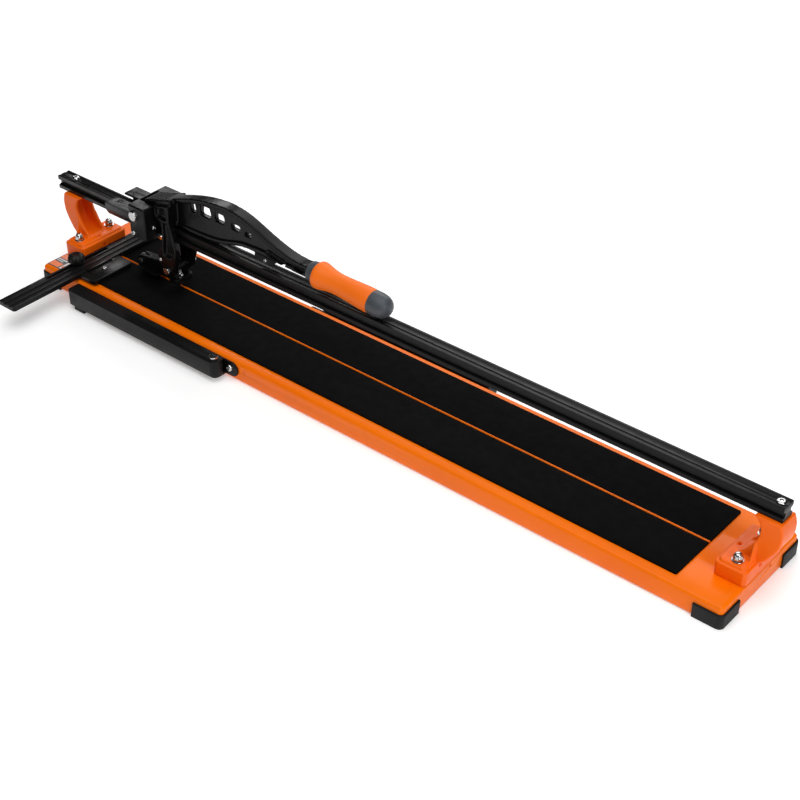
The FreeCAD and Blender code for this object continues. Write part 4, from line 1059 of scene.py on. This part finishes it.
@dataclass
class Carriage:
    """Saddle block, bearing covers, rollers and the lever's bolt."""

    body: str = "carriage"

    def build(self) -> None:
        """Make every piece of the carriage."""
        softened("carriage_block", CAST_BLACK, self.body, mm(1.0), 3)
        for side in ("near", "far"):
            softened("bearing_cover_%s" % side, SHEET_BLACK, self.body, mm(0.8), 3)
            for row in (1, 2):
                self._roller("guide_roller_%s_%d" % (side, row), "roller_%s_%d" % (side, row))
        softened("roller_axles", SHEET_BLACK, self.body, mm(0.3))
        block = Span("carriage_block")
        screws = FastenerSet("carriage_screws", self.body)
        screws.buttons(block.mid)
        screws.build()
        self._pivot(block)

    def _roller(self, node: str, body: str) -> None:
        """A ball bearing: two races with a seal sunk between them.

        Args:
            node: the CAD node it stands for.
            body: the body it turns with.
        """
        place = Span(node)
        r, h = place.size.x / 2, place.size.z
        bore = mm(3.05)
        form = turned(rings(
            (bore, 0.0), (bore + mm(1.4), 0.0), (bore + mm(1.6), mm(0.4)), (r - mm(1.9), mm(0.4)),
            (r - mm(1.7), 0.0), (r - mm(0.5), 0.0), (r, mm(0.5)), (r, h - mm(0.5)), (r - mm(0.5), h),
            (r - mm(1.7), h), (r - mm(1.9), h - mm(0.4)), (bore + mm(1.6), h - mm(0.4)),
            (bore + mm(1.4), h), (bore, h),
        ), bored=True)
        form.transform(Matrix.Translation((place.mid.x, place.mid.y, place.low.z)))
        join_kit(edged(new_object("%s_made" % node, form)), body, BARE_STEEL, [node])

    def _pivot(self, block: Span) -> None:
        """The bolt that the lever swings on, with its nut.

        Args:
            block: the box of the saddle block.
        """
        bolt = Span("lever_pivot_bolt")
        pivot = FastenerSet("lever_pivot_bolt", self.body)
        near_face = block.low.y
        pivot.add(Hardware.HEX_HEAD, (bolt.mid.x, near_face, bolt.mid.z), NEAR, HEX_16,
                  near_face - bolt.low.y, 0.25)
        pivot.add(Hardware.SHANK, (bolt.mid.x, near_face - mm(0.5), bolt.mid.z), FAR, mm(5.0),
                  bolt.high.y - near_face + mm(0.5))
        pivot.build()
        nut = Span("lever_pivot_nut")
        collar = FastenerSet("lever_pivot_nut", self.body)
        collar.add(Hardware.HEX_NUT, (nut.mid.x, nut.low.y, nut.mid.z), FAR, HEX_16, nut.size.y, 0.25)
        collar.build()


# ---------------------------------------------------------------- lever


@dataclass
class Lever:
    """The cast lever with its shaft, grip and bumper."""

    body: str = "lever"
    grid: float = mm(1.35)
    slope: float = 3.0
    collar_long: float = mm(15)
    sleeve_long: float = mm(111)
    cap_long: float = mm(35)
    grip_reach: float = mm(358.0)
    grip_rise: float = mm(12.2)

    def build(self) -> None:
        """Make the casting and everything fixed to it."""
        pivot = Span("lever_pivot_bolt").mid
        pivot.y = Span("rail").mid.y
        cast("lever_arm", LEVER_BLACK, self.body, self.grid, 6, self._pockets(pivot))
        self._grip(pivot)
        softened("lever_bumper", CORNER_RUBBER, self.body, mm(1.2), 3)
        self._shaft()
        screw = FastenerSet("bumper_screw", self.body)
        screw.buttons(pivot)
        screw.build()

    def _pockets(self, pivot: Vector) -> list[bpy.types.Object]:
        """Long rounded recesses in the beam's flanks, and room for the block's edge to swing by.

        Args:
            pivot: the spot that the lever turns about.

        Returns:
            The shapes to cut with.
        """
        made = []
        pockets = ((288.0, 10.0, 42.0, 8.5, 12.0), (335.0, 8.6, 22.0, 8.0, 14.0))
        for reach, rise, long, high, fall in pockets:
            for side in (-1.0, 1.0):
                form = bmesh.new()
                ends = (Vector((mm(high - long) / 2, 0, 0)), Vector((mm(long - high) / 2, 0, 0)))
                corners = []
                for end, start in zip(ends, (90.0, -90.0)):
                    for k in range(9):
                        angle = math.radians(start + 22.5 * k)
                        corners.append(end + Vector((math.cos(angle), 0, math.sin(angle))) * mm(high / 2))
                ring = [form.verts.new(corner) for corner in corners]
                face = form.faces.new(ring)
                grown = bmesh.ops.extrude_face_region(form, geom=[face])["geom"]
                for vert in (v for v in grown if isinstance(v, bmesh.types.BMVert)):
                    vert.co.y += mm(20.0) * side
                bmesh.ops.recalc_face_normals(form, faces=form.faces)
                place = Vector((pivot.x + mm(reach), pivot.y + mm(2.2) * side, pivot.z + mm(rise)))
                form.transform(Matrix.Translation(place) @ Matrix.Rotation(math.radians(fall), 4, "Y"))
                made.append(new_object("pocket", form))
        reliefs = (((27.0, 34.0, 9.0), (3.4, 30.0, 26.0)), ((4.0, 20.6, 12.0), (46.0, 4.0, 56.0)))
        for (ahead, aside, rise), sizes in reliefs:
            for side in (-1.0, 1.0):
                form = bmesh.new()
                bmesh.ops.create_cube(form, size=1.0)
                place = pivot + Vector((mm(ahead), mm(aside) * side, mm(rise)))
                size = Matrix.Diagonal((*(mm(v) for v in sizes), 1.0))
                form.transform(Matrix.Translation(place) @ size)
                made.append(new_object("swing_relief", form))
        return made

    def _grip(self, pivot: Vector) -> None:
        """Ridged collar, moulded sleeve and round cap, turned about one axis.

        Args:
            pivot: the spot that the lever turns about.
        """
        slope = math.radians(self.slope)
        axis = Vector((math.cos(slope), 0.0, -math.sin(slope)))
        start = pivot + Vector((self.grip_reach, 0.0, self.grip_rise))
        c, n, h = self.cap_long * 1000, self.sleeve_long * 1000, self.collar_long * 1000
        bore = 8.02
        ridges = [(bore, 0.0), (14.6, 0.0), (15.5, 0.8)]
        for base, radius in ((0.9, 16.4), (5.7, 17.2), (10.5, 18.2)):
            ridges += [(radius - 0.5, base), (radius, base + 0.6), (radius, base + 2.9),
                       (radius - 0.5, base + 3.5), (radius - 1.2, base + 3.8), (radius - 1.1, base + 4.4)]
        ridges += [(18.2, h - 0.3), (18.0, h), (bore, h)]
        self._turn_on("grip_collar", ridges, start, axis, GREY_PLASTIC, bored=True)
        flank = flowing([(20.4, 0.0), (21.6, 1.4), (22.25, 4.0), (22.1, 8.0), (20.2, 17.0), (18.2, 28.0),
                         (17.2, 40.0), (17.2, 52.0), (18.0, 68.0), (19.2, 88.0), (19.7, n - 8.0),
                         (19.2, n - 0.6)], 4)
        sleeve = [(bore, 55.0), (bore, 0.0), (17.4, 0.0), *flank, (18.8, n), (0.0, n)]
        foot = start + axis * self.collar_long
        self._turn_on("grip_sleeve", [(0.0, 55.0), *sleeve], foot, axis, GRIP_RUBBER)
        crown = flowing([(18.9, 0.0), (19.5, 0.8), (19.65, c * 0.22), (19.3, c * 0.42), (18.0, c * 0.62),
                         (15.0, c * 0.8), (10.0, c * 0.93), (4.5, c * 0.985)], 4)
        tip = start + axis * (self.collar_long + self.sleeve_long)
        self._turn_on("grip_cap", [(0.0, 0.0), *crown, (0.0, c)], tip, axis, GREY_PLASTIC)

    def _turn_on(
        self, node: str, profile: Sequence[Point2], foot: Vector, axis: Vector, finish: Finish,
        bored: bool = False,
    ) -> None:
        """Turn a profile in millimetres on the grip's axis and let it replace its node.

        Args:
            node: the CAD node.
            profile: radius and height of each ring.
            foot: where the profile starts.
            axis: the way it runs.
            finish: its surface.
            bored: whether it has a hole through it.
        """
        form = turned([Ring(mm(r), mm(z)) for r, z in profile], 72, bored)
        form.transform(stand_on(foot, axis))
        join_kit(edged(new_object("%s_made" % node, form)), self.body, finish, [node])

    def _shaft(self) -> None:
        """Cross shaft with its head and nut, and its spring."""
        rod = Span("cross_shaft")
        nut = Span("cross_shaft_nut")
        shaft = FastenerSet("cross_shaft", self.body)
        head, sunk = mm(5.3), mm(0.4)
        face = rod.low.y + head
        shaft.add(Hardware.HEX_HEAD, (rod.mid.x, face, rod.mid.z), NEAR, HEX_13, head, 0.2)
        shaft.add(Hardware.SHANK, (rod.mid.x, face - sunk, rod.mid.z), FAR, M8,
                  rod.high.y - face + sunk)
        shaft.build()
        collar = FastenerSet("cross_shaft_nut", self.body)
        collar.add(Hardware.HEX_NUT, (nut.mid.x, nut.low.y, nut.mid.z), FAR, HEX_13, nut.size.y, 0.2)
        collar.build()
        self._spring(Span("foot_spring"))

    def _spring(self, room: Span) -> None:
        """The torsion spring round the cross shaft, as a wound wire.

        Args:
            room: the box of its CAD node.
        """
        group = bpy.data.node_groups.new("wound wire", "GeometryNodeTree")
        for name in ("Turns", "Radius", "Length", "Wire"):
            group.interface.new_socket(name, in_out="INPUT", socket_type="NodeSocketFloat")
        group.interface.new_socket("Finish", in_out="INPUT", socket_type="NodeSocketMaterial")
        group.interface.new_socket("Spring", in_out="OUTPUT", socket_type="NodeSocketGeometry")
        tree = Tree(group)
        source = tree.add("NodeGroupInput")
        target = tree.add("NodeGroupOutput")
        spiral = tree.add("GeometryNodeCurveSpiral")
        spiral.inputs["Resolution"].default_value = 28
        for name, socket in (("Turns", "Rotations"), ("Radius", "Start Radius"), ("Radius", "End Radius"),
                             ("Length", "Height")):
            tree.link(source.outputs[name], spiral.inputs[socket])
        wire = tree.add("GeometryNodeCurvePrimitiveCircle")
        wire.inputs["Resolution"].default_value = 10
        tree.link(source.outputs["Wire"], wire.inputs["Radius"])
        tube = tree.add("GeometryNodeCurveToMesh")
        tube.inputs["Fill Caps"].default_value = True
        tree.link(spiral.outputs["Curve"], tube.inputs["Curve"])
        tree.link(wire.outputs["Curve"], tube.inputs["Profile Curve"])
        real = tree.add("GeometryNodeRealizeInstances")
        tree.link(tube.outputs["Mesh"], real.inputs["Geometry"])
        paint = tree.add("GeometryNodeSetMaterial")
        tree.link(real.outputs["Geometry"], paint.inputs["Geometry"])
        tree.link(source.outputs["Finish"], paint.inputs["Material"])
        tree.link(paint.outputs["Geometry"], target.inputs["Spring"])
        gauge = mm(0.95)
        piece = new_object("foot_spring_made", bmesh.new())
        give(piece, group, Turns=7.0, Radius=room.size.x / 2 - gauge, Length=room.size.y - 2.2 * gauge,
             Wire=gauge, Finish=SHEET_BLACK.material())
        settle(piece)
        foot = Vector((room.mid.x, room.low.y + 1.1 * gauge, room.mid.z))
        piece.data.transform(stand_on(foot, Vector(FAR)))
        edged(piece, 50.0)
        join_kit(piece, self.body, BARE_STEEL, ["foot_spring"])


# ---------------------------------------------------------------- cutting gear


@dataclass
class CuttingGear:
    """Wheel, its holder and the breaking foot."""

    def build(self) -> None:
        """Make the wheel, the holder and the foot."""
        softened("wheel_holder", SHEET_BLACK, "lever", mm(1.2), 3)
        softened("wheel_axle", BARE_STEEL, "lever", mm(0.4))
        self._wheel()
        holder = FastenerSet("holder_screws", "lever")
        holder.buttons(Span("lever_pivot_bolt").mid)
        holder.build()
        softened("breaking_foot", SHEET_BLACK, "breaker", mm(0.9), 3)
        softened("foot_pads", CORNER_RUBBER, "breaker", mm(0.6))
        foot = FastenerSet("foot_screw", "breaker")
        foot.buttons(Span("foot_pads").mid)
        foot.build()

    def _wheel(self) -> None:
        """The scoring wheel, ground to an edge on both sides."""
        place = Span("scoring_wheel")
        r, t, bore = place.size.x / 2, place.size.y, mm(3.05)
        form = turned(rings(
            (bore, 0.0), (r - mm(4.5), 0.0), (r - mm(4.0), mm(0.1)), (r, t / 2 - mm(0.1)),
            (r, t / 2 + mm(0.1)), (r - mm(4.0), t - mm(0.1)), (r - mm(4.5), t), (bore, t),
        ), 72, bored=True)
        form.transform(stand_on(Vector((place.mid.x, place.low.y, place.mid.z)), Vector(FAR)))
        join_kit(edged(new_object("scoring_wheel_made", form), 12.0), "wheel", CARBIDE, ["scoring_wheel"])


# ---------------------------------------------------------------- fence


@dataclass
class Fence:
    """Ruler bar, side stop and clamp knob."""

    def build(self) -> None:
        """Make every piece of the fence."""
        softened("fence_bar", BAR_BLACK, "fence", mm(0.35))
        softened("side_stop", SHEET_BLACK, "stop", mm(0.5))
        screw = FastenerSet("side_stop_screw", "stop")
        screw.buttons(Span("side_stop").low)
        screw.build()
        softened("fence_stud", BARE_STEEL, "base", mm(0.4))
        self._knob()

    def _knob(self) -> None:
        """A moulded knob with finger lobes and a dished top."""
        place = Span("fence_knob")
        r, h, lobed = place.size.x / 2, place.size.z, Plan.LOBED
        bore = mm(3.05)
        form = turned(rings(
            (0.0, mm(9.0)), (bore, mm(9.0)), (bore, 0.0), (mm(7.2), 0.0), (mm(7.5), mm(0.3)),
            (mm(7.5), mm(3.6)), (r * 0.86, mm(4.0), lobed), (r * 0.97, mm(4.8), lobed),
            (r, mm(6.5), lobed), (r, mm(10.5), lobed), (r * 0.96, mm(13.0), lobed),
            (r * 0.86, mm(15.2), lobed), (r * 0.66, mm(16.9)), (r * 0.45, h), (r * 0.4, h - mm(0.3)),
            (0.0, h - mm(0.7)),
        ), 96)
        form.transform(Matrix.Translation((place.mid.x, place.mid.y, place.low.z)))
        join_kit(edged(new_object("fence_knob_made", form), 40.0), "knob", KNOB_PLASTIC, ["fence_knob"])


# ---------------------------------------------------------------- support arms


@dataclass
class SupportArms:
    """The two swing-out arms with their brackets and bolts."""

    def build(self) -> None:
        """Make both arms and what holds them."""
        for side in ("near", "far"):
            body = "arm_%s" % side
            softened("support_arm_%s" % side, ARM_BLACK, body, mm(0.8), 3)
            softened("arm_foot_%s" % side, CORNER_RUBBER, body, mm(0.8))
            softened("arm_bracket_%s" % side, SHEET_BLACK, "base", mm(0.5))
        pivots = FastenerSet("arm_pivot_bolts", "base")
        for low, high in islands("arm_pivot_bolts"):
            mid = (low + high) / 2
            head = mm(4.6)
            pivots.add(Hardware.HEX_HEAD, (mid.x, mid.y, high.z - head), UP, HEX_13, head, 0.35)
            pivots.add(Hardware.WASHER, (mid.x, mid.y, low.z), UP, mm(6.0), mm(1.6))
            pivots.add(Hardware.SHANK, (mid.x, mid.y, low.z + mm(0.1)), UP, M8,
                       high.z - low.z - mm(1.0))
        pivots.build()
        bolts = FastenerSet("arm_bracket_bolts", "base")
        middle = Span("base_tray").mid
        for low, high in islands("arm_bracket_bolts"):
            mid = (low + high) / 2
            outward = -1.0 if mid.y < middle.y else 1.0
            reach = high.y - low.y
            face = low.y if outward < 0 else high.y
            head = mm(4.0)
            bolts.add(Hardware.BUTTON, (mid.x, face - outward * head, mid.z), (0.0, outward, 0.0),
                      mm(6.0), head, 0.3)
            bolts.add(Hardware.SHANK, (mid.x, face - outward * (head - mm(0.3)), mid.z),
                      (0.0, -outward, 0.0), mm(3.0), reach - head)
        bolts.build()


# ---------------------------------------------------------------- studio


@dataclass
class Studio:
    """Floor, lights and camera."""

    heading: float = 40.42
    pitch: float = 35.63
    roll: float = -0.34
    lens: float = 72.08
    stand: tuple[float, float, float] = (1.3509, -1.5312, 1.4634)

    def build(self, middle: Vector) -> None:
        """Make the studio.

        Args:
            middle: the middle of the bed on the ground, which the camera's place is from.
        """
        scene = bpy.context.scene
        scene.view_settings.view_transform = "Standard"
        self._floor()
        self._camera(scene, middle)
        self._lights(scene)

    def _floor(self) -> None:
        """A plain pale floor."""
        form = bmesh.new()
        bmesh.ops.create_grid(form, x_segments=2, y_segments=2, size=14.0)
        floor = new_object("studio_floor", form)
        paint = bpy.data.materials.new("studio floor")
        paint.use_nodes = True
        shader = paint.node_tree.nodes["Principled BSDF"]
        shader.inputs["Base Color"].default_value = (0.93, 0.93, 0.93, 1.0)
        shader.inputs["Roughness"].default_value = 0.9
        shader.inputs["Specular IOR Level"].default_value = 0.1
        shader.inputs["Emission Color"].default_value = (1.0, 1.0, 1.0, 1.0)
        shader.inputs["Emission Strength"].default_value = 0.30
        floor.data.materials.append(paint)

    def _camera(self, scene: bpy.types.Scene, middle: Vector) -> None:
        """The camera, placed from the middle of the bed.

        Args:
            scene: the scene it is for.
            middle: the middle of the bed on the ground.
        """
        turn, dip, tilt = (math.radians(v) for v in (self.heading, self.pitch, self.roll))
        ahead = Vector((-math.sin(turn) * math.cos(dip), math.cos(turn) * math.cos(dip), -math.sin(dip)))
        side = Vector((math.cos(turn), math.sin(turn), 0.0))
        up = side.cross(ahead)
        right = side * math.cos(tilt) + up * math.sin(tilt)
        top = up * math.cos(tilt) - side * math.sin(tilt)
        data = bpy.data.cameras.new("studio_camera")
        data.lens = self.lens
        data.sensor_width = 36.0
        data.clip_end = 60.0
        camera = bpy.data.objects.new("studio_camera", data)
        camera.matrix_world = Matrix((right, top, -ahead)).transposed().to_4x4()
        camera.location = middle + Vector(self.stand)
        scene.collection.objects.link(camera)
        scene.camera = camera

    def _lights(self, scene: bpy.types.Scene) -> None:
        """Soft boxes above, beside and behind, and a dim room, a little lighter overhead.

        Args:
            scene: the scene to light.
        """
        room = bpy.data.worlds.new("studio room")
        room.use_nodes = True
        tree = Tree(room.node_tree)
        sky = tree.find("Background")
        parts = tree.add("ShaderNodeSeparateXYZ")
        tree.link(tree.add("ShaderNodeTexCoord").outputs["Generated"], parts.inputs["Vector"])
        tree.link(tree.remap(parts.outputs["Z"], 0.0, 0.9, 0.40, 0.50), sky.inputs["Strength"])
        scene.world = room
        for name, spot, size, power in (
            ("soft_box_top", (0.3, -0.4, 2.6), 3.0, 62.0),
            ("soft_box_back", (-0.9, 2.3, 1.8), 2.0, 34.0),
            ("soft_box_right", (2.6, -0.9, 1.3), 1.2, 24.0),
            ("soft_box_gloss", (-2.3, 1.55, 1.5), 0.6, 7.0),
        ):
            data = bpy.data.lights.new(name, "AREA")
            data.shape = "SQUARE"
            data.size = size
            data.energy = power
            light = bpy.data.objects.new(name, data)
            light.location = spot
            light.rotation_euler = (-Vector(spot)).to_track_quat("-Z", "Y").to_euler()
            scene.collection.objects.link(light)


def main() -> None:
    """Build every sub-assembly in order."""
    logging.basicConfig(level=logging.INFO, format="%(message)s")
    Studio().build(Vector((Span("base_tray").mid.x, Span("rail").mid.y, 0.0)))
    for assembly in (Bed(), TowersAndRail(), Carriage(), Lever(), CuttingGear(), Fence(), SupportArms()):
        log.info("building %s", type(assembly).__name__)
        assembly.build()


if __name__ == "__main__":
    main()
